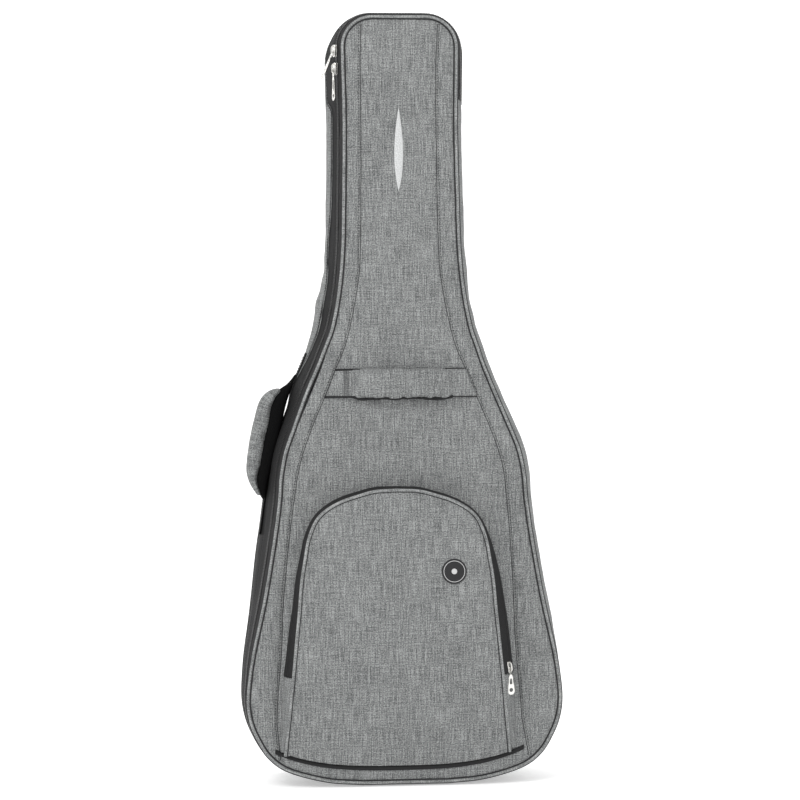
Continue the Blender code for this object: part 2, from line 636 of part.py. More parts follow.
def coil_frame(z):
    """Where a slider rides on the left run of the main zip: point, way up, way off."""
    i = nearest(DENSE, lambda p: p.y - z if p.x > 0.03 else 9)
    other = i + 1 if (DENSE[i + 1].y - z) * (DENSE[i].y - z) <= 0 else i - 1
    run = (DENSE[i + 1] - DENSE[i - 1]).normalized()
    normal = Vector((run.y, -run.x))
    bulge = bulge_at(z)
    share = (z - DENSE[i].y) / (DENSE[other].y - DENSE[i].y)
    at = DENSE[i].lerp(DENSE[other], share) + normal * (0.61 * bulge)
    slope = 0.30 * bulge / 0.0134
    off = Vector((-normal.x, -slope, normal.y)).normalized()
    return Vector((-at.x, COIL_Y, at.y)), Vector((-run.x, 0.0, run.y)), off


def fit_slider(name, pull_name, at, up, off, swing, length=0.044):
    """Put a slider on the zip, with its pull hanging from the bridge."""
    up = up.normalized()
    off = (off - up * off.dot(up)).normalized()
    base, bridge = slider_body(name)
    seat = at + off * 0.0040
    place(base, seat, up, off)
    place(bridge, seat, up, off)
    side = off.cross(up)
    down = Vector((0, 0, -1))
    hang = (down - side * down.dot(side)).normalized()
    away = off if abs(off.dot(hang)) < 0.01 else (off - hang * off.dot(hang)).normalized()
    lifted = hang * cos(swing) + away * sin(swing)
    flat = away * cos(swing) - hang * sin(swing)
    pull = pull_tab(pull_name, length)
    place(pull, seat + off * PULL_LIFT - up * PULL_DROP, -lifted, flat)


fit_slider("main_slider_low", "main_pull_low", *coil_frame(1.012), 0.0)
fit_slider("main_slider_top", "main_pull_top", *coil_frame(1.037), radians(24))
fit_slider("pocket_slider", "pocket_pull", Vector((POCKET_X + 0.1527, -0.0938, 0.167)),
           Vector((-0.090, 0, 1.0)), Vector((0.85, -0.53, 0.072)), 0.0, 0.038)

# ---------------------------------------------------------- zip end tabs
for name, index in (("zip_end_top", A_ZIP_TOP), ("zip_end_low", A_ZIP_LOW)):
    p, n, b = ROUND[index]
    run = Vector((-n.y, n.x))
    sign = -1 if name == "zip_end_top" else 1
    loops = []
    for step in (0.0005, 0.012):
        q = p + run * sign * step
        share = [(0.30, -0.0690), (0.84, -0.0465), (0.93, -0.0340)]
        ring = [(q.x + n.x * (s * b + 0.0004), y, q.y + n.y * (s * b + 0.0004)) for s, y in share]
        ring += [(q.x + n.x * (s * b + 0.0016), y, q.y + n.y * (s * b + 0.0016)) for s, y in reversed(share)]
        loops.append(ring)
    loft(name, loops, BLACK)

# ------------------------------------------------------- carrying straps
YOKE_Z = 0.656
box("strap_yoke", (-0.085, BACK_Y + GAP, YOKE_Z - 0.022), (0.085, BACK_Y + 0.0030, YOKE_Z + 0.022),
    BLACK, bevel=0.0008)
for side, name in ((1, "left"), (-1, "right")):
    line = [(0.049, 0.629), (0.052, 0.609), (0.057, 0.585), (0.070, 0.520), (0.085, 0.440),
            (0.095, 0.360), (0.101, 0.300)]
    lift = [0.0832, 0.0852, 0.0850, 0.0845, 0.0845, 0.0842, 0.0835]
    path = [(side * x, y, z) for (x, z), y in zip(line, lift)]
    strap("strap_%s_pad" % name, path, (1, 0, 0), (0.050, 0.054, 0.058, 0.062, 0.062, 0.058, 0.040),
          (0.006, 0.010, 0.013, 0.014, 0.014, 0.013, 0.006), GREY)
    web = [(side * 0.1015, 0.0835, 0.2975), (side * 0.112, 0.0825, 0.240), (side * 0.140, 0.0815, 0.1275)]
    strap("strap_%s_web" % name, web, (1, 0, 0), 0.025, 0.0016, BLACK)
    hook = polygon_mesh([(-0.015, 0.012), (0.015, 0.012), (0.013, -0.004), (0.008, -0.020), (-0.008, -0.020),
                         (-0.013, -0.004)], [[(-0.0045, -0.006), (0.0045, -0.006), (0.0045, -0.016),
                                              (-0.0045, -0.016)]], 0.0044)
    obj = finish(hook, "strap_%s_hook" % name, BLACK, roughness=0.45, bevel=0.0008)
    place(obj, (side * 0.1432, 0.0815, 0.1118), (1, 0, 0.0), (0, -1, 0))
    tab = [(side * 0.1432, BACK_Y + 0.0014, 0.084), (side * 0.1432, BACK_Y + 0.0014, 0.060)]
    strap("strap_%s_tab" % name, tab, (1, 0, 0), 0.025, 0.0020, BLACK)
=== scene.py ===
"""Looks of the padded gig bag: quilted fabric panels, piping, zips, handles and straps."""
from math import cos, exp, floor, pi, radians, sin, sqrt

import bmesh
import bpy
from mathutils import Matrix, Vector, noise
from mathutils.kdtree import KDTree


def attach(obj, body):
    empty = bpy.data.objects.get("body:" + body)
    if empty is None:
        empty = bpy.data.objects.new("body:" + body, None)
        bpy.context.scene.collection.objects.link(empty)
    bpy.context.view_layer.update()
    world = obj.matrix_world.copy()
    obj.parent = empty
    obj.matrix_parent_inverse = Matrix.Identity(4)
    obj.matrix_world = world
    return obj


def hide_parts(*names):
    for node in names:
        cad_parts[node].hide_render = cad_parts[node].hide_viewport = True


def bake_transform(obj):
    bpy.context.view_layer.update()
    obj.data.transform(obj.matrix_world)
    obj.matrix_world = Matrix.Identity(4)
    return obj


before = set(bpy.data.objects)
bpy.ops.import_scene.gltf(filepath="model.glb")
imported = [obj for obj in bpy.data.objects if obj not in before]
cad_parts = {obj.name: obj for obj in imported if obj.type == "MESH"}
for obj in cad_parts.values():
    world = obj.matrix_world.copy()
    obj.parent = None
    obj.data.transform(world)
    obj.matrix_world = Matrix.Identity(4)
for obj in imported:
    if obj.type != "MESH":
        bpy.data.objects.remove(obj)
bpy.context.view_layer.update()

# ------------------------------------------------------------------ outline
SEAM = [(0.000, 0.008), (0.060, 0.008), (0.110, 0.0125), (0.162, 0.027), (0.189, 0.046),
        (0.206, 0.073), (0.215, 0.097), (0.218, 0.123), (0.215, 0.157), (0.209, 0.193),
        (0.1935, 0.264), (0.1792, 0.348), (0.1720, 0.400), (0.1690, 0.437), (0.1618, 0.472),
        (0.1470, 0.509), (0.1295, 0.550), (0.1140, 0.588), (0.1045, 0.616), (0.094, 0.649),
        (0.085, 0.701), (0.080, 0.756), (0.078, 0.828), (0.0765, 0.930), (0.0775, 1.000)]
HEAD_R, HEAD_X, HEAD_Z = 0.040, 0.0382, 1.040
STRIP = [(0.175, 0.036), (0.174, 0.060), (0.171, 0.123), (0.165, 0.193), (0.162, 0.264),
         (0.156, 0.345), (0.149, 0.410), (0.142, 0.455), (0.126, 0.503), (0.1065, 0.549),
         (0.091, 0.588), (0.079, 0.616), (0.070, 0.649), (0.060, 0.701), (0.055, 0.756),
         (0.053, 0.930), (0.054, 1.0757)]
ARCH = [(0.000, 0.4155), (0.030, 0.4140), (0.051, 0.4087), (0.076, 0.4005), (0.097, 0.389),
        (0.1115, 0.374), (0.1215, 0.349), (0.1265, 0.322), (0.1315, 0.290), (0.135, 0.250),
        (0.139, 0.210), (0.1425, 0.173), (0.144, 0.158)]
POCKET_X = -0.0115
FOLD_Z = 0.158
FOLD_HALF = 0.144
FOOT_HALF = 0.1555
TRIM_X = -0.008
TRIM_HALF = 0.175
TRIM_LOW_Z = 0.027
COIL_Y = -0.0561
ZIP_TOP_Z = 0.967
ZIP_LOW_Z = 0.127
HANDLE_Z = 0.567
HANDLE_HALF = 0.019
BASE_Z = 0.008
FACE_Y = -0.0732          # the lid's fabric at its edge
BACK_Y = 0.0734           # the back's fabric at its edge
LID_EDGE_Y = -0.0712      # where the walls end, front and back
WALL_END_Y = 0.0706
POCKET_Y = -0.112
PIPING_R = 0.0022
LOW_SLIDER_Z = 1.012
TOP_SLIDER_Z = 1.037
FRONT = Vector((0, -1, 0))
REAR = Vector((0, 1, 0))


def smoothstep(t):
    t = min(max(t, 0.0), 1.0)
    return t * t * (3 - 2 * t)


def catmull_rom(p0, p1, p2, p3, t):
    """Point between p1 and p2 on a smooth curve through all four."""
    return 0.5 * (2 * p1 + (p2 - p0) * t + (2 * p0 - 5 * p1 + 4 * p2 - p3) * t * t
                  + (3 * p1 - p0 - 3 * p2 + p3) * t ** 3)


def spline(keys, steps=12):
    """Smooth open line through the keys, of any dimension."""
    pts = []
    keys = [Vector(k) for k in keys]
    for i in range(len(keys) - 1):
        p1, p2 = keys[i], keys[i + 1]
        p0 = keys[i - 1] if i else p1 * 2 - p2
        p3 = keys[i + 2] if i + 2 < len(keys) else p2 * 2 - p1
        pts.extend(catmull_rom(p0, p1, p2, p3, k / steps) for k in range(steps))
    pts.append(keys[-1])
    return pts


def smooth_outline(keys, steps=6):
    """Smooth closed outline through the keys, as pairs."""
    closed = [Vector(k) for k in keys]
    n = len(closed)
    pts = []
    for i in range(n):
        around = [closed[(i + k - 1) % n] for k in range(4)]
        pts.extend(tuple(catmull_rom(*around, k / steps)) for k in range(steps))
    return pts


def spaced(pts, step, closed=False):
    """The same line with points evenly spaced about step apart."""
    line = list(pts) + ([pts[0]] if closed else [])
    cum = [0.0]
    for a, b in zip(line, line[1:]):
        cum.append(cum[-1] + (b - a).length)
    count = max(2, int(round(cum[-1] / step)))
    out = []
    j = 0
    for k in range(count + (0 if closed else 1)):
        s = cum[-1] * k / count
        while j < len(cum) - 2 and cum[j + 1] < s:
            j += 1
        f = (s - cum[j]) / max(cum[j + 1] - cum[j], 1e-9)
        out.append(line[j].lerp(line[j + 1], f))
    return out


def read_off(line, y):
    """X where a line of points that climbs in Y passes a height."""
    if y <= line[0].y:
        return line[0].x
    for a, b in zip(line, line[1:]):
        if a.y <= y <= b.y:
            return a.x + (b.x - a.x) * (y - a.y) / max(b.y - a.y, 1e-9)
    return line[-1].x


def rounded_square(angle, x_power, y_power):
    """Point on a square with soft corners, from -1 to 1 each way."""
    c, s = cos(angle), sin(angle)
    return abs(c) ** x_power * (1 if c > 0 else -1), abs(s) ** y_power * (1 if s > 0 else -1)


def nearest_finder(points):
    tree = KDTree(len(points))
    for i, p in enumerate(points):
        tree.insert((p.x, p.y, 0), i)
    tree.balance()
    return tree


def seam_half():
    side = [Vector((p.x, max(p.y, BASE_Z))) for p in spline(SEAM[1:], 24)]
    arc = [Vector((HEAD_X + HEAD_R * cos(radians(a * 3)), HEAD_Z + HEAD_R * sin(radians(a * 3))))
           for a in range(31)]
    base = [Vector((0.0, BASE_Z)), Vector((0.03, BASE_Z))]
    return base + side + arc + [Vector((0.0, HEAD_Z + HEAD_R))]


def bulge_at(z):
    return 0.008 + 0.006 * smoothstep((z - 0.10) / 0.17)


class Ring:
    """The front seam as a closed loop from base centre up the right and down the left."""

    def __init__(self):
        half = spaced(seam_half(), 0.0012)
        slumped = [Vector((-p.x - 0.0045 * exp(-((p.y - 0.560) / 0.055) ** 2), p.y))
                   for p in reversed(half[1:-1])]
        self.pts = half + slumped
        n = len(self.pts)
        self.norm = []
        for i in range(n):
            run = (self.pts[(i + 3) % n] - self.pts[(i - 3) % n]).normalized()
            self.norm.append(Vector((run.y, -run.x)))
        self.cum = [0.0]
        for i in range(n):
            self.cum.append(self.cum[-1] + (self.pts[(i + 1) % n] - self.pts[i]).length)
        self.total = self.cum[-1]

    def find(self, z, right=True):
        """How far along the ring its right or left side passes a height."""
        best = min(range(len(self.pts)),
                   key=lambda i: abs(self.pts[i].y - z) if (self.pts[i].x > 0.03) == right
                   and abs(self.pts[i].x) > 0.03 else 9)
        return self.cum[best]

    def at(self, s):
        """Point, outward normal and wall swell, so far along the ring."""
        s %= self.total
        lo, hi = 0, len(self.pts) - 1
        while lo < hi:
            mid = (lo + hi + 1) // 2
            if self.cum[mid] <= s:
                lo = mid
            else:
                hi = mid - 1
        nxt = (lo + 1) % len(self.pts)
        f = (s - self.cum[lo]) / max(self.cum[lo + 1] - self.cum[lo], 1e-9)
        p = self.pts[lo].lerp(self.pts[nxt], f)
        n = self.norm[lo].lerp(self.norm[nxt], f).normalized()
        return p, n, bulge_at(p.y)

    def stations(self, s0, s1, step):
        """Distance, point, normal and swell at even steps from one place to another."""
        if s1 < s0:
            s1 += self.total
        count = max(1, int(round((s1 - s0) / step)))
        return [(s0 + (s1 - s0) * k / count,) + self.at(s0 + (s1 - s0) * k / count)
                for k in range(count + 1)]

    def loop(self, step):
        count = int(round(self.total / step))
        return [(self.total * k / count,) + self.at(self.total * k / count) for k in range(count)]


RING = Ring()
S_LOW_R = RING.find(ZIP_LOW_Z, True)
S_TOP_R = RING.find(ZIP_TOP_Z, True)
S_TOP_L = RING.total - S_TOP_R
S_LOW_L = RING.total - S_LOW_R

EDGE = nearest_finder(RING.pts)
STRIP_LINE = spline(STRIP, 14)


def lean(z):
    """How far the strips' seams sit left of the middle at a height."""
    low = min(max((z - 0.036) / 0.060, 0.0), 1.0)
    high = min(max((1.0757 - z) / 0.060, 0.0), 1.0)
    rise = min(max((z - 0.25) / 0.20, 0.0), 1.0)
    return -(0.0080 - 0.0055 * rise) * low * high


def swell(n, z, y):
    """The soft left wall stands out a little more than the right one."""
    across = smoothstep((y + 0.056) / 0.045) * (1.0 - smoothstep((y - 0.030) / 0.038))
    if n.x > 0.3:
        return 0.0030 * across * exp(-((z - 0.47) / 0.10) ** 2)
    if n.x > -0.3:
        return 0.0
    along = smoothstep((z - 0.20) / 0.14) * (1.0 - smoothstep((z - 1.03) / 0.03))
    gripped = smoothstep((z - 0.395) / 0.03) * (1.0 - smoothstep((z - 0.525) / 0.035))
    waist = 0.0050 * exp(-((z - 0.665) / 0.040) ** 2)
    return across * (0.0066 * along * (1.0 - 0.75 * gripped) + waist)


def tape_edge(n, z):
    """How far back the zip's black strip reaches: narrow up the neck, broad round the body."""
    side = smoothstep((-n.x - 0.3) / 0.4) * smoothstep((z - 0.03) / 0.08)
    side *= 1.0 - smoothstep((z - 0.955) / 0.02)
    left = 0.010 - 0.043 * smoothstep((z - 0.46) / 0.17) + 0.010 * exp(-((z - 0.76) / 0.04) ** 2)
    return -0.010 + (left + 0.010) * side


def strip_x(z):
    """Half width of the centre panel at a height."""
    return read_off(STRIP_LINE, z)


# ---------------------------------------------------------------- materials
def shader_material(name):
    mat = bpy.data.materials.new(name)
    mat.use_nodes = True
    tree = mat.node_tree
    return mat, tree, tree.nodes["Principled BSDF"]


def node(tree, kind, **props):
    n = tree.nodes.new(kind)
    for key, value in props.items():
        setattr(n, key, value)
    return n


def scaled_uv(tree, su, sv):
    uv = node(tree, "ShaderNodeUVMap", uv_map="UVMap")
    mapping = node(tree, "ShaderNodeMapping")
    mapping.inputs["Scale"].default_value = (su, sv, 1.0)
    tree.links.new(uv.outputs["UV"], mapping.inputs["Vector"])
    return mapping.outputs["Vector"]


def noise_tex(tree, vector, scale=1.0, detail=2.0, rough=0.5):
    tex = node(tree, "ShaderNodeTexNoise")
    tex.inputs["Scale"].default_value = scale
    tex.inputs["Detail"].default_value = detail
    tex.inputs["Roughness"].default_value = rough
    tree.links.new(vector, tex.inputs["Vector"])
    return tex.outputs["Fac"]


def maths(tree, op, a, b=None, clamp=False):
    m = node(tree, "ShaderNodeMath", operation=op, use_clamp=clamp)
    for i, value in enumerate((a, b)):
        if value is None:
            continue
        if isinstance(value, (int, float)):
            m.inputs[i].default_value = value
        else:
            tree.links.new(value, m.inputs[i])
    return m.outputs["Value"]


def ramp(tree, fac, stops):
    r = node(tree, "ShaderNodeValToRGB")
    while len(r.color_ramp.elements) < len(stops):
        r.color_ramp.elements.new(0.5)
    for e, (pos, colour) in zip(r.color_ramp.elements, stops):
        e.position = pos
        e.color = (*colour, 1.0)
    tree.links.new(fac, r.inputs["Fac"])
    return r.outputs["Color"]


def weave_height(tree, period):
    """Plain weave: threads over and under, as a height from 0 to 1."""
    uv = node(tree, "ShaderNodeUVMap", uv_map="UVMap")
    sep = node(tree, "ShaderNodeSeparateXYZ")
    tree.links.new(uv.outputs["UV"], sep.inputs["Vector"])
    k = 2 * pi / period
    u = maths(tree, "SINE", maths(tree, "MULTIPLY", sep.outputs["X"], k))
    v = maths(tree, "SINE", maths(tree, "MULTIPLY", sep.outputs["Y"], k))
    return maths(tree, "MULTIPLY_ADD", maths(tree, "MULTIPLY", u, v), 0.5)


def bump(tree, height, strength, distance):
    b = node(tree, "ShaderNodeBump")
    b.inputs["Strength"].default_value = strength
    b.inputs["Distance"].default_value = distance
    tree.links.new(height, b.inputs["Height"])
    return b.outputs["Normal"]


def melange(name, tone=1.0):
    """Grey two-tone woven polyester with light and dark slubs both ways."""
    mat, tree, shader = shader_material(name)
    warp = noise_tex(tree, scaled_uv(tree, 640, 34), 1.0, 1.5)
    weft = noise_tex(tree, scaled_uv(tree, 34, 640), 1.0, 1.5)
    grain = noise_tex(tree, scaled_uv(tree, 560, 560), 1.0, 1.5)
    broad = noise_tex(tree, scaled_uv(tree, 16, 9), 1.0, 3.0)
    mix = maths(tree, "ADD", maths(tree, "MULTIPLY", warp, 0.30), maths(tree, "MULTIPLY", weft, 0.18))
    mix = maths(tree, "ADD", mix, maths(tree, "MULTIPLY", grain, 0.46))
    mix = maths(tree, "ADD", mix, maths(tree, "MULTIPLY", broad, 0.06))
    dark, middle, light, slub = (tuple(c * tone for c in colour) for colour in (
        (0.085, 0.088, 0.089), (0.200, 0.206, 0.205), (0.37, 0.38, 0.375), (0.46, 0.475, 0.47)))
    base = ramp(tree, mix, [(0.39, dark), (0.50, middle), (0.61, light)])
    # sparse light slubs
    slub_v = noise_tex(tree, scaled_uv(tree, 480, 14), 1.0, 2.0)
    slub_h = noise_tex(tree, scaled_uv(tree, 11, 430), 1.0, 2.0)
    lift_v = maths(tree, "MULTIPLY", maths(tree, "SUBTRACT", slub_v, 0.63, True), 5.0, True)
    lift_h = maths(tree, "MULTIPLY", maths(tree, "SUBTRACT", slub_h, 0.645, True), 5.0, True)
    lift = maths(tree, "MULTIPLY", maths(tree, "MAXIMUM", lift_v, lift_h), 0.5)
    mixer = node(tree, "ShaderNodeMix", data_type="RGBA")
    tree.links.new(lift, mixer.inputs["Factor"])
    tree.links.new(base, mixer.inputs["A"])
    mixer.inputs["B"].default_value = (*slub, 1.0)
    tree.links.new(mixer.outputs["Result"], shader.inputs["Base Color"])
    shader.inputs["Roughness"].default_value = 0.88
    shader.inputs["Sheen Weight"].default_value = 0.05
    shader.inputs["Sheen Roughness"].default_value = 0.45
    shader.inputs["Specular IOR Level"].default_value = 0.25
    height = maths(tree, "ADD", weave_height(tree, 0.00105), maths(tree, "MULTIPLY", mix, 1.6))
    tree.links.new(bump(tree, height, 0.35, 0.00035), shader.inputs["Normal"])
    return mat


def webbing(name, colour, rib=0.0016, rough=0.72, sheen=0.15, strength=0.5, shine=0.35):
    """Black narrow weave with ribs along its length."""
    mat, tree, shader = shader_material(name)
    grain = noise_tex(tree, scaled_uv(tree, 900, 900), 1.0, 2.0)
    dark = tuple(c * 0.65 for c in colour)
    light = tuple(min(1.0, c * 1.7 + 0.004) for c in colour)
    tree.links.new(ramp(tree, grain, [(0.3, dark), (0.55, colour), (0.8, light)]),
                   shader.inputs["Base Color"])
    shader.inputs["Roughness"].default_value = rough
    shader.inputs["Sheen Weight"].default_value = sheen
    shader.inputs["Sheen Roughness"].default_value = 0.5
    shader.inputs["Specular IOR Level"].default_value = shine
    tree.links.new(bump(tree, weave_height(tree, rib), strength, 0.0003), shader.inputs["Normal"])
    return mat


def plush(name, colour):
    mat, tree, shader = shader_material(name)
    coarse = noise_tex(tree, scaled_uv(tree, 260, 260), 1.0, 4.0, 0.7)
    light = tuple(min(1.0, c * 1.9) for c in colour)
    tree.links.new(ramp(tree, coarse, [(0.3, tuple(c * 0.6 for c in colour)), (0.6, colour), (0.8, light)]),
                   shader.inputs["Base Color"])
    shader.inputs["Roughness"].default_value = 0.95
    shader.inputs["Sheen Weight"].default_value = 0.6
    shader.inputs["Sheen Roughness"].default_value = 0.4
    tree.links.new(bump(tree, coarse, 0.6, 0.0012), shader.inputs["Normal"])
    return mat


def metal(name, colour, rough):
    mat, tree, shader = shader_material(name)
    coords = node(tree, "ShaderNodeTexCoord")
    smear = noise_tex(tree, coords.outputs["Object"], 900.0, 3.0)
    shader.inputs["Metallic"].default_value = 1.0
    tree.links.new(ramp(tree, smear, [(0.3, tuple(c * 0.86 for c in colour)), (0.7, colour)]),
                   shader.inputs["Base Color"])
    rough_map = node(tree, "ShaderNodeMapRange")
    tree.links.new(smear, rough_map.inputs["Value"])
    rough_map.inputs["To Min"].default_value = rough * 0.75
    rough_map.inputs["To Max"].default_value = rough * 1.4
    tree.links.new(rough_map.outputs["Result"], shader.inputs["Roughness"])
    return mat


def plain(name, colour, rough, sheen=0.0):
    mat, tree, shader = shader_material(name)
    shader.inputs["Base Color"].default_value = (*colour, 1.0)
    shader.inputs["Roughness"].default_value = rough
    shader.inputs["Sheen Weight"].default_value = sheen
    return mat


GREY = melange("grey_melange_fabric", 0.84)
PIPE = melange("piping_fabric", 1.0)
BLACK = webbing("black_webbing", (0.006, 0.006, 0.0065), sheen=0.0)
TAPE = webbing("zip_tape", (0.0070, 0.0070, 0.0073), 0.0011, 0.75, 0.0, 0.6)
COIL = plain("zip_coil", (0.006, 0.006, 0.0065), 0.40)
# dark thread for the stitches; the same material draws the dark lines painted as shade in the seam creases
THREAD_AND_SEAM_SHADE = plain("dark_thread_and_seam_shade", (0.010, 0.010, 0.011), 0.75)
GREY_THREAD = plain("grey_thread", (0.10, 0.102, 0.104), 0.65, 0.1)
SATIN = webbing("satin_stitch", (0.52, 0.53, 0.53), 0.0009, 0.45, 0.3, 0.5)
NICKEL = metal("nickel", (0.78, 0.77, 0.74), 0.17)
PLUSH = plush("plush_lining", (0.035, 0.036, 0.040))
FOAM = plush("padding_foam", (0.12, 0.12, 0.13))
MESH = webbing("air_mesh", (0.003, 0.003, 0.0032), 0.0040, 0.9, 0.0, 1.0, 0.10)
PLASTIC = plain("acetal", (0.022, 0.022, 0.024), 0.35)
RUBBER = plain("soft_rubber", (0.006, 0.006, 0.007), 0.7)
PALE = plain("pale_ink", (0.48, 0.48, 0.48), 0.5)


# -------------------------------------------------------------- mesh makers
def linked(name, data):
    """Object for some data, put in the scene."""
    obj = bpy.data.objects.new(name, data)
    bpy.context.scene.collection.objects.link(obj)
    return obj


def smooth_shaded(mesh):
    mesh.polygons.foreach_set("use_smooth", [True] * len(mesh.polygons))


def make(name, verts, faces, mat, uvs=None):
    mesh = bpy.data.meshes.new(name)
    mesh.from_pydata([tuple(v) for v in verts], [], faces)
    mesh.materials.append(mat)
    if uvs is not None:
        layer = mesh.uv_layers.new(name="UVMap")
        flat = []
        for loop in mesh.loops:
            flat.extend(uvs[loop.vertex_index])
        layer.data.foreach_set("uv", flat)
    obj = linked(name, mesh)
    if uvs is None:
        box_uv(obj)
    smooth_shaded(mesh)
    return obj


def box_uv(obj):
    """UVs in metres, each face laid flat along its main direction."""
    mesh = obj.data
    layer = mesh.uv_layers.get("UVMap") or mesh.uv_layers.new(name="UVMap")
    flat = [0.0] * (2 * len(mesh.loops))
    for poly in mesh.polygons:
        n = [abs(c) for c in poly.normal]
        k = n.index(max(n))
        for li in poly.loop_indices:
            co = mesh.vertices[mesh.loops[li].vertex_index].co
            u, v = ((co.y, co.z), (co.x, co.z), (co.x, co.y))[k]
            flat[2 * li] = u
            flat[2 * li + 1] = v
    layer.data.foreach_set("uv", flat)


def sweep(name, rows, mat, closed=False, tube=False, uvs=None, caps=True):
    """Skin over rows of points; tube joins each row's ends, closed joins the last row to the first."""
    n = len(rows[0])
    verts = [p for row in rows for p in row]
    faces = []
    last = len(rows) if closed else len(rows) - 1
    for i in range(last):
        a = i * n
        b = ((i + 1) % len(rows)) * n
        for k in range(n if tube else n - 1):
            k2 = (k + 1) % n
            faces.append((a + k, b + k, b + k2, a + k2))
    if tube and caps and not closed:
        faces.append(tuple(range(n)))
        faces.append(tuple(reversed([(len(rows) - 1) * n + k for k in range(n)])))
    flat = [uv for row in uvs for uv in row] if uvs else None
    return make(name, verts, faces, mat, flat)


def ring_uv(ring, along):
    """UVs in metres round a ring of points, the first coordinate fixed."""
    out = []
    s = 0.0
    for k, p in enumerate(ring):
        if k:
            s += (Vector(p) - Vector(ring[k - 1])).length
        out.append((along, s))
    return out


def tube(name, pts, r, mat, closed=False, sides=12):
    """Round cord along points, with fabric UVs along its length."""
    rows, uvs = [], []
    n = len(pts)
    s = 0.0
    for i, p in enumerate(pts):
        a = pts[(i - 1) % n] if closed or i else pts[i]
        b = pts[(i + 1) % n] if closed or i < n - 1 else pts[i]
        run = (b - a).normalized()
        side = run.cross(REAR).normalized()
        top = side.cross(run)
        rows.append([p + side * r * cos(2 * pi * k / sides) + top * r * sin(2 * pi * k / sides)
                     for k in range(sides)])
        uvs.append([(2 * pi * r * k / sides, s) for k in range(sides)])
        s += (b - a).length / 2
    return sweep(name, rows, mat, closed, True, uvs)


def stitches(name, pts, normals, mat, pitch=0.0042, length=0.0030, r=0.00042):
    """A run of thread stitches lying on a surface."""
    line = [Vector(p) for p in pts]
    cum = [0.0]
    for a, b in zip(line, line[1:]):
        cum.append(cum[-1] + (b - a).length)
    verts, faces = [], []
    s = pitch / 2
    j = 0
    while s < cum[-1]:
        while j < len(cum) - 2 and cum[j + 1] < s:
            j += 1
        f = (s - cum[j]) / max(cum[j + 1] - cum[j], 1e-9)
        p = line[j].lerp(line[j + 1], f)
        run = (line[j + 1] - line[j]).normalized()
        up = normals if isinstance(normals, Vector) else Vector(normals[j])
        up = (up - run * up.dot(run)).normalized()
        side = run.cross(up)
        base = len(verts)
        for x, k in ((-0.5, 0.0), (-0.32, 1.0), (0.32, 1.0), (0.5, 0.0)):
            c = p + run * length * x + up * r * (0.5 * k - 0.3)
            if k == 0.0:
                verts.append(c - up * r * 0.6)
            else:
                verts.extend([c + side * r, c + up * r * 0.9, c - side * r, c - up * r * 0.9])
        a, b, c, d = base, base + 1, base + 5, base + 9
        for k in range(4):
            k2 = (k + 1) % 4
            faces.append((a, b + k2, b + k))
            faces.append((b + k, b + k2, c + k2, c + k))
            faces.append((c + k, c + k2, d))
        s += pitch
    return make(name, verts, faces, mat)


def gridded(name, outline, step, height, mat, facing=-1):
    """Panel cut to an outline in X and Z, with a fine grid, at Y = height(x, z)."""
    bm = bmesh.new()
    bm.faces.new([bm.verts.new((p[0], 0.0, p[1])) for p in outline])
    xs = [p[0] for p in outline]
    zs = [p[1] for p in outline]
    for lo, hi, axis in ((min(zs), max(zs), 2), (min(xs), max(xs), 0)):
        k = floor(lo / step) + 1
        while k * step < hi - 1e-5:
            co = [0.0, 0.0, 0.0]
            no = [0.0, 0.0, 0.0]
            co[axis] = k * step
            no[axis] = 1.0
            bmesh.ops.bisect_plane(bm, geom=bm.verts[:] + bm.edges[:] + bm.faces[:], dist=1e-6,
                                   plane_co=co, plane_no=no)
            k += 1
    for v in bm.verts:
        v.co.y = height(v.co.x, v.co.z)
    bmesh.ops.recalc_face_normals(bm, faces=bm.faces)
    if sum(f.normal.y * f.calc_area() for f in bm.faces) * facing < 0:
        bmesh.ops.reverse_faces(bm, faces=bm.faces)
    mesh = bpy.data.meshes.new(name)
    bm.to_mesh(mesh)
    bm.free()
    mesh.materials.append(mat)
    obj = linked(name, mesh)
    layer = mesh.uv_layers.new(name="UVMap")
    flat = []
    for loop in mesh.loops:
        co = mesh.vertices[loop.vertex_index].co
        flat.extend((co.x, co.z))
    layer.data.foreach_set("uv", flat)
    smooth_shaded(mesh)
    return obj


def thicken(obj, amount, offset=-1.0):
    mod = obj.modifiers.new("Thickness", "SOLIDIFY")
    mod.thickness = amount
    mod.offset = offset
    return obj


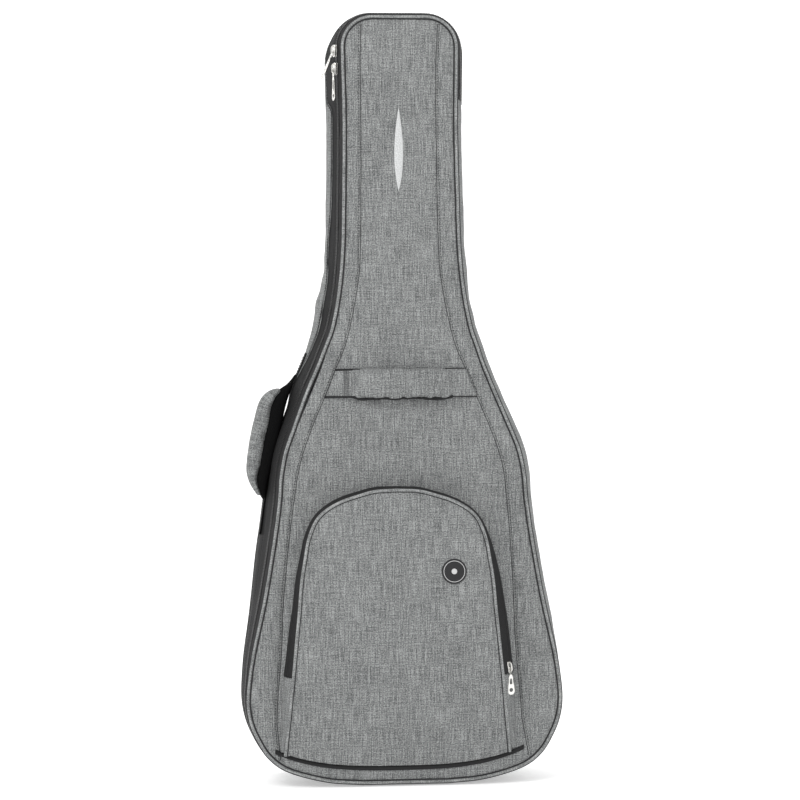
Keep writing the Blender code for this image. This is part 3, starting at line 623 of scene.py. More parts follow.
def puffed(obj, pins, pressure, slack, reach, frames=18):
    """Let stuffed fabric swell and pucker between its pinned points, none going past reach."""
    mesh = obj.data
    shell = bmesh.new()
    shell.from_mesh(mesh)
    bmesh.ops.recalc_face_normals(shell, faces=shell.faces)
    shell.to_mesh(mesh)
    shell.free()
    start = [v.co.copy() for v in mesh.vertices]
    group = obj.vertex_groups.new(name="Sewn")
    group.add(pins, 1.0, "REPLACE")
    cloth = obj.modifiers.new("Stuffing", "CLOTH")
    cloth.settings.quality = 6
    cloth.settings.mass = 0.25
    cloth.settings.tension_stiffness = 12.0
    cloth.settings.compression_stiffness = 12.0
    cloth.settings.shear_stiffness = 4.0
    cloth.settings.bending_stiffness = 0.08
    cloth.settings.air_damping = 2.0
    cloth.settings.use_pressure = True
    cloth.settings.uniform_pressure_force = pressure
    cloth.settings.shrink_min = -slack
    cloth.settings.vertex_group_mass = "Sewn"
    cloth.settings.effector_weights.gravity = 0.0
    cloth.collision_settings.use_collision = False
    cloth.point_cache.frame_start = 1
    cloth.point_cache.frame_end = frames
    scene = bpy.context.scene
    for k in range(1, frames + 1):
        scene.frame_set(k)
    posed = obj.evaluated_get(bpy.context.evaluated_depsgraph_get()).data
    moved = [v.co.copy() for v in posed.vertices]
    obj.modifiers.remove(cloth)
    scene.frame_set(1)
    for v, a, b in zip(mesh.vertices, start, moved):
        shift = b - a
        if shift.length > reach:
            shift = shift.normalized() * reach
        v.co = a + shift
    mesh.update()
    return obj


def softened(obj):
    mod = obj.modifiers.new("Smooth", "SUBSURF")
    mod.levels = 1
    mod.render_levels = 1
    return obj


# ------------------------------------------------------------ panel heights
def edge_distance(x, z):
    _, i, _ = EDGE.find((x, z, 0))
    p = RING.pts[i]
    return max(0.0, -((Vector((x, z)) - p).dot(RING.norm[i])))


def lid_height(x, z):
    """How far forward the padded lid stands."""
    d = edge_distance(x, z)
    puff = 0.0072 * (1 - exp(-d / 0.0065))
    gap = abs(abs(x - lean(z)) - strip_x(z)) if z > 0.03 else 9
    inside = 1 - exp(-d / 0.008)
    groove = 0.0020 * exp(-(gap / 0.0026) ** 2) * inside
    ease = 0.0014 * exp(-(gap / 0.012) ** 2) * inside
    soft = 0.0013 * noise.noise((x * 11, z * 7, 1.3)) + 0.0007 * noise.noise((x * 28, z * 20, 5.1))
    return FACE_Y - (puff - groove - ease + soft * min(1.0, d / 0.02))


def back_height(x, z):
    d = edge_distance(x, z)
    puff = 0.0040 * (1 - exp(-d / 0.012))
    soft = 0.0009 * noise.noise((x * 10, z * 7, 8.3)) + 0.0005 * noise.noise((x * 26, z * 18, 2.1))
    return BACK_Y + puff + soft * min(1.0, d / 0.02)


def ring_outline(s0, s1, step=0.004):
    return [p for s, p, n, b in RING.stations(s0, s1, step)]


# ---------------------------------------------------------------------- lid
def seam_s(x, z_low):
    """Where the side strip's seam meets the outline on the right, at the base or the head."""
    best = min(range(len(RING.pts)),
               key=lambda i: abs(RING.pts[i].x - x) if (RING.pts[i].y < 0.06) == z_low
               and (z_low or RING.pts[i].y > 1.05) and RING.pts[i].x > 0 else 9)
    return RING.cum[best]


S_STRIP_LOW = seam_s(STRIP[0][0], True)
S_STRIP_TOP = seam_s(STRIP[-1][0], False)
STRIP_EVEN = spaced(STRIP_LINE, 0.004)
seam_line = {side: [Vector((side * p.x + lean(p.y), p.y)) for p in STRIP_EVEN[1:-1]]
             for side in (1, -1)}
centre_outline = (ring_outline(-S_STRIP_LOW, S_STRIP_LOW) + seam_line[1]
                  + ring_outline(S_STRIP_TOP, RING.total - S_STRIP_TOP) + list(reversed(seam_line[-1])))
step = 0.0045
centre_panel = gridded("lid_centre_fabric", centre_outline, step, lid_height, GREY)
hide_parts("front_centre_panel")
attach(centre_panel, "lid")
for side, label in ((1, "right"), (-1, "left")):
    outer_edge = [Vector((side * p.x, p.y)) for p in ring_outline(S_STRIP_LOW, S_STRIP_TOP)]
    panel = gridded("lid_strip_fabric_" + label, outer_edge + list(reversed(seam_line[side])), step,
                    lid_height, GREY)
    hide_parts("front_strip_" + label)
    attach(panel, "lid")
    beside = [Vector((p.x + side * 0.0028, p.y)) for p in seam_line[side]]
    line = [Vector((p.x, lid_height(p.x, p.y) - 0.0001, p.y)) for p in beside]
    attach(stitches("strip_stitching_" + label, line, FRONT, THREAD_AND_SEAM_SHADE), "lid")
    # dark line laid along the seam's groove: painted shade in the crease
    crease_shade_line = [Vector((p.x, lid_height(p.x, p.y) - 0.0001, p.y)) for p in seam_line[side]]
    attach(tube("strip_seam_shade_" + label, crease_shade_line, 0.0005, THREAD_AND_SEAM_SHADE, sides=6), "lid")


def piping_run(name, y, body, node_name):
    """Fabric-covered cord round a panel, with a dark line each side of it as painted shade in the seam
    creases.
    """
    def run(off, y, step):
        return [Vector((p.x + n.x * off, y, p.y + n.y * off)) for s, p, n, b in RING.loop(step)]

    cord = tube(name, run(PIPING_R, y, 0.004), PIPING_R, PIPE, True)
    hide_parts(node_name)
    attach(cord, body)
    sign = 1 if y < 0 else -1
    # dark tubes in the creases each side of the cord: painted shade, not thread
    for label, off, dy in (("inner", -0.0009, -0.0006), ("outer", 0.0047, 0.0006)):
        line = run(off, y + sign * dy, 0.005)
        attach(tube(name + "_" + label + "_seam", line, 0.0010, THREAD_AND_SEAM_SHADE, True, 8), body)


piping_run("lid_piping_cord", -0.0742, "lid", "front_piping")
piping_run("back_piping_cord", 0.0738, "bag", "back_piping")


# -------------------------------------------------------------------- walls
def section_line(keys, step=0.006):
    return spaced(spline(keys, 10), step)


# share of the wall's full swell against depth, from the lid to the back
PROFILE = spline([(0.30, -0.0716), (0.48, -0.0640), (0.61, COIL_Y), (0.80, -0.0450), (0.96, -0.0325),
                  (1.08, -0.020), (1.13, -0.0080), (1.16, 0.004), (1.12, 0.030), (0.90, 0.055),
                  (0.28, WALL_END_Y)], 10)
ZIP_SIDE = [k / 16 for k in range(17)]


def share_at(y):
    """Share of the wall's full swell at a depth, on the zipped sides."""
    return read_off(PROFILE, y)


HINGE_SIDE = section_line([(0.26, LID_EDGE_Y), (0.66, -0.058), (0.94, -0.040), (1.08, -0.015), (1.12, 0.010),
                           (1.04, 0.036), (0.88, 0.056), (0.28, WALL_END_Y)])


def wall_skin(name, s0, s1, section, node_name):
    """Soft wall fabric: section is depths from the zip back, or shares and depths."""
    rows, uvs = [], []
    for s, p, n, b in RING.stations(s0, s1, 0.005):
        row, uv = [], []
        waist = exp(-((p.y - 0.70) / 0.07) ** 2)
        first = tape_edge(n, p.y) - 0.0010
        for q in section:
            if section is ZIP_SIDE:
                y = first + (WALL_END_Y - first) * q
                share = share_at(y) + 0.03 * (1.0 - q)
            else:
                share, y = q.x, q.y
            inner = min(1.0, max(0.0, (WALL_END_Y - abs(y)) / 0.03))
            soft = 0.0009 * noise.noise((s * 16, y * 22, 3.0)) + 0.0006 * noise.noise((s * 45, y * 40, 6.0))
            soft += waist * 0.0026 * noise.noise((s * 34, y * 12, 9.0))
            flat = 1.0 - smoothstep((0.02 - p.y) / 0.01)
            off = share * b + soft * inner * flat + swell(n, p.y, y)
            at = p + n * off
            row.append((at.x, y, at.y))
            uv.append((y, s))
        rows.append(row)
        uvs.append(uv)
    obj = sweep(name, rows, GREY, uvs=uvs)
    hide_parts(node_name)
    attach(obj, "bag")
    thicken(obj, 0.001, 0.0)


wall_skin("wall_fabric_right", S_LOW_R, S_TOP_R, HINGE_SIDE, "wall_outer_right")
wall_skin("wall_fabric_head", S_TOP_R, S_TOP_L, ZIP_SIDE, "wall_outer_head")
wall_skin("wall_fabric_left", S_TOP_L, S_LOW_L, ZIP_SIDE, "wall_outer_left")
wall_skin("wall_fabric_base", S_LOW_L, S_LOW_R, ZIP_SIDE, "wall_outer_base")


def zip_strip(name, first, last, body, node_name, count):
    """Black strip beside the coil, from one depth to another, with a ridge sewn along it."""
    rows, uvs = [], []
    for s, p, n, b in RING.stations(S_TOP_R, S_LOW_R, 0.005):
        end = last if last is not None else tape_edge(n, p.y)
        row, uv = [], []
        for k in range(count):
            t = k / (count - 1)
            y = first + (end - first) * t
            ridge = 0.0007 * exp(-((t - 0.30) / 0.08) ** 2) - 0.0006 * exp(-((t - 0.42) / 0.05) ** 2)
            soft = 0.0006 * noise.noise((s * 20, y * 60, 4.0)) + 0.0005 * noise.noise((s * 70, y * 30, 8.0))
            at = p + n * (share_at(y) * b + soft + ridge + swell(n, p.y, y))
            row.append((at.x, y, at.y))
            uv.append((y, s))
        rows.append(row)
        uvs.append(uv)
    obj = sweep(name, rows, TAPE, uvs=uvs)
    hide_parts(node_name)
    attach(obj, body)
    return thicken(obj, 0.0008, 0.0)


def strip_line(share_of_strip, lift):
    """Points and normals along the rear strip, some way from the coil to its edge."""
    pts, nrm = [], []
    for s, p, n, b in RING.stations(S_TOP_R, S_LOW_R, 0.006):
        y = COIL_Y + (tape_edge(n, p.y) - COIL_Y) * share_of_strip
        at = p + n * (share_at(y) * b + swell(n, p.y, y) + lift)
        pts.append(Vector((at.x, y, at.y)))
        nrm.append(Vector((n.x, 0, n.y)))
    return pts, nrm


zip_strip("zip_tape_front", -0.0716, COIL_Y - 0.0004, "lid", "zip_tape_lid", 7)
zip_strip("zip_tape_rear", COIL_Y + 0.0004, None, "bag", "zip_tape_tray", 20)


def coil_teeth(name, side, body, node_name):
    """One row of the main zip's coil: short loops side by side along the seam."""
    verts, faces = [], []
    pitch = 0.0021
    for s, p, n, b in RING.stations(S_TOP_R, S_LOW_R, pitch):
        run = Vector((-n.y, n.x))
        slope = Vector((0.30 * b, 0.0134)).normalized()
        for dy, lift, wide in ((0.0, 0.0006, 0.62), (0.0006, 0.0016, 0.62),
                               (0.0026, 0.0016, 0.55), (0.0034, 0.0006, 0.55)):
            for half in (-0.5, 0.5):
                share = 0.61 * b + side * dy * slope.x + lift
                at = p + n * share + run * half * pitch * wide
                verts.append((at.x, COIL_Y + side * (dy + 0.0002), at.y))
        k = len(verts) - 8
        for j in range(3):
            faces.append((k + 2 * j, k + 2 * j + 1, k + 2 * j + 3, k + 2 * j + 2))
    obj = make(name, verts, faces, COIL)
    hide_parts(node_name)
    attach(obj, body)
    return thicken(obj, 0.0006, 0.0)


coil_teeth("zip_coil_front", -1, "lid", "zip_coil_lid")
coil_teeth("zip_coil_rear", 1, "bag", "zip_coil_tray")

# the wall's edge stitched down along the zip
edge_pts, _ = strip_line(1.02, 0.0012)
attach(tube("strip_edge_seam", edge_pts, 0.0006, THREAD_AND_SEAM_SHADE, sides=6), "bag")
for share_of_strip in (0.36, 0.86, 1.10):
    line_pts, line_nrm = strip_line(share_of_strip, 0.0010)
    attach(stitches("strip_stitch_run_%d" % (share_of_strip * 100), line_pts, line_nrm, THREAD_AND_SEAM_SHADE), "bag")


def lid_binding(name, first, last, y_out, share):
    """Tape bound over the lining's edge inside the lid."""
    rows = []
    for s, p, n, b in RING.stations(first, last, 0.005):
        row = []
        for k in range(6):
            t = k / 5
            at = p + n * (share * b * (1 - t) - 0.0095 * t)
            row.append((at.x, y_out + (-0.0571 - y_out) * min(1.0, 1.6 * t), at.y))
        rows.append(row)
    uvs = [[(0.004 * k, 0.005 * i) for k in range(6)] for i in range(len(rows))]
    obj = sweep(name, rows, TAPE, uvs=uvs)
    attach(thicken(obj, 0.0004, 0.0), "lid")


lid_binding("lid_binding_zip_side", S_TOP_R, S_LOW_R, COIL_Y - 0.0012, 0.55)
lid_binding("lid_binding_hinge_side", S_LOW_R, S_TOP_R, -0.0690, 0.06)

# fabric that bridges the hinge between wall and lid, as broad as its gap at each height
HINGE_X, HINGE_Z, HINGE_LEAN = 0.2262, 0.123, 0.148
rows, uvs = [], []
for s, p, n, b in RING.stations(S_LOW_R, S_TOP_R, 0.006):
    row, uv = [], []
    for k in range(7):
        t = k / 6
        at = p + n * (0.26 * b * (1 - t) + 0.0008 * t)
        y = LID_EDGE_Y - 0.0014 * t
        row.append((at.x, y, at.y))
        gap = max(0.0, HINGE_X - HINGE_LEAN * (p.y - HINGE_Z) - p.x)
        uv.append((t * (0.012 + 1.9 * gap), s))
    rows.append(row)
    uvs.append(uv)
gusset = sweep("hinge_gusset_fabric", rows, GREY, uvs=uvs)
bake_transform(gusset)

# --------------------------------------------------------------------- back
back_fabric = gridded("back_fabric", ring_outline(0, RING.total - 0.004), step, back_height, GREY, 1)
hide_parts("back_panel")
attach(back_fabric, "bag")


# ------------------------------------------------------------------- pocket
def trim_z(x):
    """Height of the curved trim that the pocket ends above."""
    return TRIM_LOW_Z + 0.0255 * (abs(x - TRIM_X) / TRIM_HALF) ** 3


def pocket_face(z):
    """How far forward the pocket's edge stands: upright, then sloping back below the fold."""
    if z >= FOLD_Z:
        return POCKET_Y
    share = (FOLD_Z - z) / (FOLD_Z - 0.030)
    return POCKET_Y + 0.026 * share


ARCH_EVEN = spaced(spline(ARCH, 14), 0.004)


def arch_frame():
    """Arch from the left fold up over the top to the right fold: (point, normal)."""
    half = []
    for i, p in enumerate(ARCH_EVEN):
        a = ARCH_EVEN[max(i - 1, 0)]
        b = ARCH_EVEN[min(i + 1, len(ARCH_EVEN) - 1)]
        run = (b - a).normalized()
        half.append((p, Vector((-run.y, run.x)) if i else Vector((0, 1))))
    return mirrored(half[1:]) + [(Vector((p.x + POCKET_X, p.y)), n) for p, n in half]


def mirrored(half):
    return [(Vector((POCKET_X - p.x, p.y)), Vector((-n.x, n.y))) for p, n in reversed(half)]


ARCH_LINE = arch_frame()


def side_frame():
    """The same line carried down each side to the foot."""
    down = []
    for k in range(1, 24):
        t = k / 23
        x = FOLD_HALF + (FOOT_HALF - FOLD_HALF) * t
        z = FOLD_Z * (1 - t) + (trim_z(POCKET_X + x) + 0.0035) * t
        down.append((Vector((x, z)), Vector((0.995, 0.09))))
    return mirrored(down) + ARCH_LINE + [(Vector((p.x + POCKET_X, p.y)), n) for p, n in down]


POCKET_EDGE = side_frame()
POCKET_TREE = nearest_finder([p for p, n in POCKET_EDGE])


def pocket_height(x, z):
    _, i, _ = POCKET_TREE.find((x, z, 0))
    p, n = POCKET_EDGE[i]
    d = max(0.0, -((Vector((x, z)) - p).dot(n)))
    foot = max(0.0, z - trim_z(x) - 0.0035)
    puff = 0.0048 * (1 - exp(-d / 0.016)) * (1 - exp(-foot / 0.02))
    soft = 0.0016 * noise.noise((x * 10, z * 8, 21.0)) + 0.0007 * noise.noise((x * 30, z * 22, 4.0))
    return pocket_face(z) + 0.0022 - puff - soft * min(1.0, d / 0.02) * min(1.0, foot / 0.02)


foot_xs = [POCKET_X + FOOT_HALF * (1 - k / 30) for k in range(1, 60)]
foot_line = [Vector((x, trim_z(x) + 0.0035)) for x in foot_xs]
pocket_outline = [p for p, n in POCKET_EDGE] + foot_line
pocket = gridded("pocket_front_fabric", pocket_outline, step, pocket_height, GREY)
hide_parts("pocket_flap_panel", "pocket_lower_panel")
thicken(pocket, 0.0035, -1.0)
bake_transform(pocket)


def pocket_tube(name, off, dy, r, mat, sides):
    pts = [Vector((p.x + n.x * off, pocket_face(p.y) + dy, p.y + n.y * off)) for p, n in POCKET_EDGE]
    obj = tube(name, pts, r, mat, False, sides)
    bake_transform(obj)
    return obj


pocket_cord = pocket_tube("pocket_piping_cord", PIPING_R, 0.0026, PIPING_R, PIPE, 10)
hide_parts("pocket_piping")
# dark line in the crease inside the pocket's piping: painted shade
pocket_tube("pocket_piping_seam_shade", -0.0004, 0.0020, 0.0006, THREAD_AND_SEAM_SHADE, 6)


# how far the zip spreads beyond the piping, against height, up each side
FLARE_RIGHT = [Vector(k) for k in ((1.95, 0.158), (1.85, 0.240), (1.15, 0.320), (0.75, 0.350),
                                   (0.45, 0.380), (0.30, 0.430))]
FLARE_LEFT = [Vector(k) for k in ((1.25, 0.158), (0.92, 0.240), (0.55, 0.320), (0.42, 0.340),
                                  (0.30, 0.380), (0.30, 0.430))]


def arch_skin(name, keys, body, node_name):
    """Zip fabric round the arch, its section given as spread and depth."""
    section = section_line(keys, 0.003)
    rows, uvs = [], []
    s = 0.0
    for i, (p, n) in enumerate(ARCH_LINE):
        if i:
            s += (p - ARCH_LINE[i - 1][0]).length
        row, uv = [], []
        right = 0.5 + 0.5 * n.x
        flare = read_off(FLARE_RIGHT, p.y) * right + read_off(FLARE_LEFT, p.y) * (1 - right)
        for q in section:
            soft = 0.0005 * noise.noise((s * 24, q.y * 60, 14.0))
            at = p + n * (0.0040 + (q.x - 0.0040) * flare + soft)
            row.append((at.x, q.y, at.y))
            uv.append((q.y, s))
        rows.append(row)
        uvs.append(uv)
    obj = sweep(name, rows, TAPE, uvs=uvs)
    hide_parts(node_name)
    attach(obj, body)
    thicken(obj, 0.0008, 0.0)


arch_skin("pocket_zip_front", [(0.0038, -0.1078), (0.0068, -0.1010), (0.0098, -0.0944)],
          "pocket_flap", "pocket_zip_flap")
arch_skin("pocket_zip_rear", [(0.0100, -0.0938), (0.0118, -0.0850), (0.0128, -0.0772)],
          "lid", "pocket_zip_base")
for side, label in ((1, "right"), (-1, "left")):
    rows, uvs = [], []
    for k in range(24):
        t = k / 23
        z = FOLD_Z * (1 - t) + 0.0525 * t
        x0 = FOLD_HALF + (FOOT_HALF - FOLD_HALF) * t + 0.0036
        x1 = FOLD_HALF + (0.0205 if side > 0 else 0.0150) + 0.0040 * t
        y0 = pocket_face(z) + 0.0040
        y1 = -0.0768
        row, uv = [], []
        for j in range(9):
            f = j / 8
            sag = 0.0022 * sin(pi * f) + 0.0008 * noise.noise((z * 40, f * 3, 2.0 * side))
            row.append((POCKET_X + side * (x0 + (x1 - x0) * f + sag), y0 + (y1 - y0) * f, z))
            uv.append((f * 0.03, z))
        rows.append(row)
        uvs.append(uv)
    piece = sweep("pocket_side_fabric_" + label, rows, GREY, uvs=uvs)
    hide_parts("pocket_gusset_" + label)
    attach(piece, "lid")
    thicken(piece, 0.0008, 0.0)

# black trim under the pocket
rows, uvs = [], []
for k in range(90):
    x = TRIM_X + TRIM_HALF * (k / 44.5 - 1)
    z = trim_z(x)
    y = lid_height(x, z)
    row, uv = [], []
    for j in range(10):
        a = 2 * pi * j / 10
        row.append((x, y - 0.0008 + 0.0014 * cos(a), z + 0.0034 * sin(a)))
        uv.append((j * 0.001, x))
    rows.append(row)
    uvs.append(uv)
trim = sweep("foot_trim_tape", rows, BLACK, tube=True, uvs=uvs)
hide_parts("bottom_trim")
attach(trim, "lid")


def badge_circle(r, lift, count):
    """Round ring of points on the badge, so far off the pocket."""
    x, z = POCKET_X + 0.0785, 0.304
    y = pocket_height(x, z) - 0.0006 - lift
    return [Vector((x + r * cos(2 * pi * k / count), y, z + r * sin(2 * pi * k / count)))
            for k in range(count)]


disc = ((0.0, 0.0012), (0.0160, 0.0012), (0.0172, 0.0008), (0.0175, 0.0002), (0.0175, -0.0012))
badge = sweep("badge_disc", [badge_circle(r, lift, 48) for r, lift in disc], RUBBER, tube=True, caps=False)
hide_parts("badge_patch")
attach(badge, "pocket_flap")
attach(tube("badge_ring", badge_circle(0.0146, 0.0012, 64), 0.00045, PALE, True, 6), "pocket_flap")
dot = ((0.0002, 0.0019), (0.0034, 0.0019), (0.0040, 0.0014), (0.0040, 0.0008))
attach(sweep("badge_dot", [badge_circle(r, lift, 24) for r, lift in dot], PALE, tube=True), "pocket_flap")

# stitched mark: a slim lozenge of satin stitch, laid in slanting rows
mark_rows, mark_uv = [], []
for k in range(60):
    t = k / 59
    z = 0.837 + 0.116 * t
    half = 0.0072 * sin(pi * t) ** 0.8 * (1 - 0.35 * t) + 0.0002
    row, uv = [], []
    for j in range(9):
        f = j / 8 * 2 - 1
        x = half * f - 0.0028
        crown = 0.0011 * sqrt(max(0.0, 1 - f * f)) + 0.0002
        row.append((x, lid_height(x, z) - crown, z + 0.0015 * f))
        uv.append((z, x))
    mark_rows.append(row)
    mark_uv.append(uv)
mark = sweep("satin_mark", mark_rows, SATIN, uvs=mark_uv)
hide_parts("stitched_mark")
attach(mark, "lid")


# ------------------------------------------------------------ front handle
for side, label in ((1, "right"), (-1, "left")):
    rows, uvs = [], []
    for k in range(16):
        t = k / 15
        row, uv = [], []
        for j in range(14):
            f = j / 13
            z = HANDLE_Z - HANDLE_HALF + 2 * HANDLE_HALF * f
            x_out = strip_x(z) - 0.0006 + side * lean(z)
            x = side * (0.058 + (x_out - 0.058) * t)
            lift = 0.0020 + 0.0012 * (1 - t)
            row.append((x, lid_height(x, z) - lift, z))
            uv.append((x, z))
        rows.append(row)
        uvs.append(uv)
    band = sweep("handle_band_" + label, rows, GREY, uvs=uvs)
    thicken(band, 0.0016, 1.0)
    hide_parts("front_handle_tab_" + label)
    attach(band, "lid")
    for z, edge in ((HANDLE_Z + HANDLE_HALF, "top"), (HANDLE_Z - HANDLE_HALF, "low")):
        x_out = strip_x(z) + side * lean(z)
        line = [Vector((side * (0.060 + (x_out - 0.060) * k / 12), 0, z)) for k in range(13)]
        for p in line:
            p.y = lid_height(p.x, z) - 0.0022
        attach(tube("handle_edge_%s_%s" % (edge, label), line, 0.0014, BLACK, sides=8), "lid")
    for dx in (0.0, 0.0016, 0.0032, 0.0048, 0.0064):
        x = side * (0.0765 + dx)
        line = [Vector((x, lid_height(x, z) - 0.0031, z))
                for z in (HANDLE_Z - 0.018 + 0.036 * k / 12 for k in range(13))]
        name = "handle_bar_stitch_%s_%d" % (label, dx * 1e4)
        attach(stitches(name, line, FRONT, GREY_THREAD, 0.0030, 0.0024), "lid")

# padded sleeve, bowed forward off the lid
AROUND = 32
rows, uvs = [], []
spine = spaced(spline([(-0.0730, -0.0818), (-0.064, -0.0850), (-0.050, -0.0882), (-0.030, -0.0902),
                       (0.0, -0.0908), (0.030, -0.0902), (0.050, -0.0882), (0.064, -0.0850),
                       (0.0730, -0.0818)], 10), 0.0024)
for i, q in enumerate(spine):
    t = i / (len(spine) - 1)
    end = smoothstep(min(t, 1 - t) / 0.09)
    wide = 0.0186 + 0.0016 * end + 0.0008 * end * noise.noise((q.x * 38, 0.0, 2.0))
    deep = 0.0024 + 0.0058 * end
    ring = []
    for k in range(AROUND):
        px, py = rounded_square(2 * pi * k / AROUND, 0.50, 0.80)
        pucker = 0.0009 * exp(-(min(t, 1 - t) / 0.10) ** 2) * sin(px * 13.0)
        rough = 0.0010 * end * noise.noise((q.x * 50, px * 1.6, py * 1.5 + 3)) + pucker
        ring.append((q.x, q.y - py * (deep + rough), HANDLE_Z - 0.0008 * end + px * wide + 0.3 * rough))
    rows.append(ring)
    uvs.append(ring_uv(ring, q.x))
sleeve = sweep("handle_sleeve", rows, GREY, tube=True, uvs=uvs)
last = len(rows) - 1
pins = [i * AROUND + k for i in range(len(rows)) for k in range(AROUND)
        if i in (0, 1, last - 1, last) or k in (0, AROUND // 2)]
puffed(sleeve, pins, 3.0, 0.09, 0.0018)
softened(sleeve)
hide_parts("front_handle")
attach(sleeve, "front_handle")
# black binding along the sleeve's lower edge, wherever the cloth left it, drawn thick so it also serves as
# painted shadow under the sleeve
line = []
for i in range(1, last):
    foot = min((sleeve.data.vertices[i * AROUND + k].co for k in range(AROUND)), key=lambda v: v.z)
    line.append(Vector((foot.x, spine[i].y - 0.0020, foot.z - 0.0003)))
line = [(line[max(i - 1, 0)] + line[i] + line[min(i + 1, len(line) - 1)]) / 3 for i in range(len(line))]
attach(tube("handle_binding_and_shadow", line, 0.0018, BLACK, sides=8), "front_handle")


# ------------------------------------------------------------- side handle
SIDE_Y = -0.006


def left_crest(z, rise, y=SIDE_Y):
    """Point and normal on the left wall at a height and depth, so far off the fabric."""
    p, n, b = RING.at(RING.find(z, False))
    out = p + n * (b * 1.02 + rise + swell(n, z, y))
    return Vector((out.x, y, out.y)), Vector((n.x, 0, n.y))


# x, z and half thickness along the grip's black underside and along its padded sleeve
WEB_KEYS = [(-0.1475, 0.5800, 0.0016), (-0.1560, 0.5660, 0.0040), (-0.1660, 0.5530, 0.0088),
            (-0.1722, 0.5400, 0.0106), (-0.1818, 0.4990, 0.0104), (-0.1930, 0.4495, 0.0092),
            (-0.1972, 0.4280, 0.0082), (-0.1968, 0.4150, 0.0060), (-0.1945, 0.4050, 0.0030),
            (-0.1910, 0.3950, 0.0014)]
SLEEVE_KEYS = [(-0.1700, 0.5590, 0.0032), (-0.1800, 0.5530, 0.0066), (-0.1855, 0.5470, 0.0088),
               (-0.1916, 0.5357, 0.0102), (-0.1972, 0.5130, 0.0106), (-0.2028, 0.4890, 0.0106),
               (-0.2084, 0.4565, 0.0100), (-0.2100, 0.4424, 0.0086), (-0.2088, 0.4290, 0.0060),
               (-0.2048, 0.4175, 0.0038), (-0.2000, 0.4090, 0.0024)]
SLAB_AROUND = 28


def slab(name, path, half_w, half_t, mat, squareness, bumpy=0.0):
    """Soft flat bar along a path, its width along Y and a half thickness for each point."""
    rows, uvs = [], []
    s = 0.0
    for i, p in enumerate(path):
        a = path[max(i - 1, 0)]
        b = path[min(i + 1, len(path) - 1)]
        up = REAR.cross((b - a).normalized()).normalized()
        ring = []
        for k in range(SLAB_AROUND):
            px, py = rounded_square(2 * pi * k / SLAB_AROUND, squareness, 0.8)
            soft = bumpy * noise.noise((p.x * 60, p.z * 60, px * 2 + py))
            ring.append(p + REAR * (px * half_w + soft) + up * (py * half_t[i] + soft))
        rows.append(ring)
        uvs.append(ring_uv(ring, s))
        s += (b - a).length / 2
    return sweep(name, rows, mat, tube=True, uvs=uvs)


def keyed_slab(name, keys, half_w, mat, squareness, bumpy=0.0):
    line = spaced(spline(keys, 10), 0.0032)
    path = [Vector((q.x, SIDE_Y, q.y)) for q in line]
    return slab(name, path, half_w, [q.z for q in line], mat, squareness, bumpy), len(line)


pad, count = keyed_slab("side_handle_sleeve", SLEEVE_KEYS, 0.0200, GREY, 0.5, 0.0006)
pins = [i * SLAB_AROUND + k for i in range(count) for k in range(SLAB_AROUND)
        if i in (0, count - 1) or k in (0, SLAB_AROUND // 2)]
puffed(pad, pins, 3.0, 0.05, 0.0008)
softened(pad)
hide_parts("side_handle_pad")
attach(pad, "side_handle")
# the black underside is drawn thick enough to fill the gap against the wall: real black webbing plus painted
# shade in that gap
web, _ = keyed_slab("side_handle_grip_and_gap_shade", WEB_KEYS, 0.0178, MESH, 0.35)
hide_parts("side_handle_web")
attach(web, "side_handle")
for label, z0, z1 in (("top", 0.602, 0.5585), ("low", 0.4035, 0.350)):
    path = [left_crest(z0 + (z1 - z0) * k / 8, 0.0022)[0] for k in range(9)]
    tab = slab("side_handle_anchor_" + label, path, 0.0180, [0.0012] * len(path), BLACK, 0.25)
    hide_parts("side_handle_tab_" + label)
    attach(tab, "bag")
    ends = (z0 - (0.004 if z0 > z1 else -0.004), z1 + (0.010 if z0 > z1 else -0.010))
    for y in (-0.0215, 0.0095):
        pts, nrm = [], []
        for k in range(9):
            p, n = left_crest(ends[0] + (ends[1] - ends[0]) * k / 8, 0.0035, y)
            pts.append(p)
            nrm.append(n)
        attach(stitches("anchor_stitch_%s_%d" % (label, int(y * 1e4)), pts, nrm, GREY_THREAD), "bag")


# ------------------------------------------------------- sliders and pulls
def placed(at, along, off):
    """X along the zip, Z off the bag."""
    x = along.normalized()
    z = (off - x * off.dot(x)).normalized()
    return Matrix.Translation(at) @ Matrix((x, z.cross(x), z)).transposed().to_4x4()


def coil_frame(z):
    """Where a slider rides on the left run of the main zip: point, way up, way off."""
    p, n, b = RING.at(RING.find(z, True))
    at = p + n * (0.61 * b)
    off = Vector((-n.x, -0.30 * b / 0.0134, n.y)).normalized()
    return Vector((-at.x, COIL_Y, at.y)), Vector((n.y, 0.0, n.x)), off


def slider_frames(at, up, off, swing):
    """Where the slider and its pull sit, the pull hanging from the bridge."""
    up = up.normalized()
    off = (off - up * off.dot(up)).normalized()
    seat = at + off * 0.0040
    side = off.cross(up)
    down = Vector((0, 0, -1))
    hang = (down - side * down.dot(side)).normalized()
    away = off if abs(off.dot(hang)) < 0.01 else (off - hang * off.dot(hang)).normalized()
    lifted = hang * cos(swing) + away * sin(swing)
    flat = away * cos(swing) - hang * sin(swing)
    return placed(seat, up, off), placed(seat + off * 0.0025 - up * 0.0005, -lifted, flat)


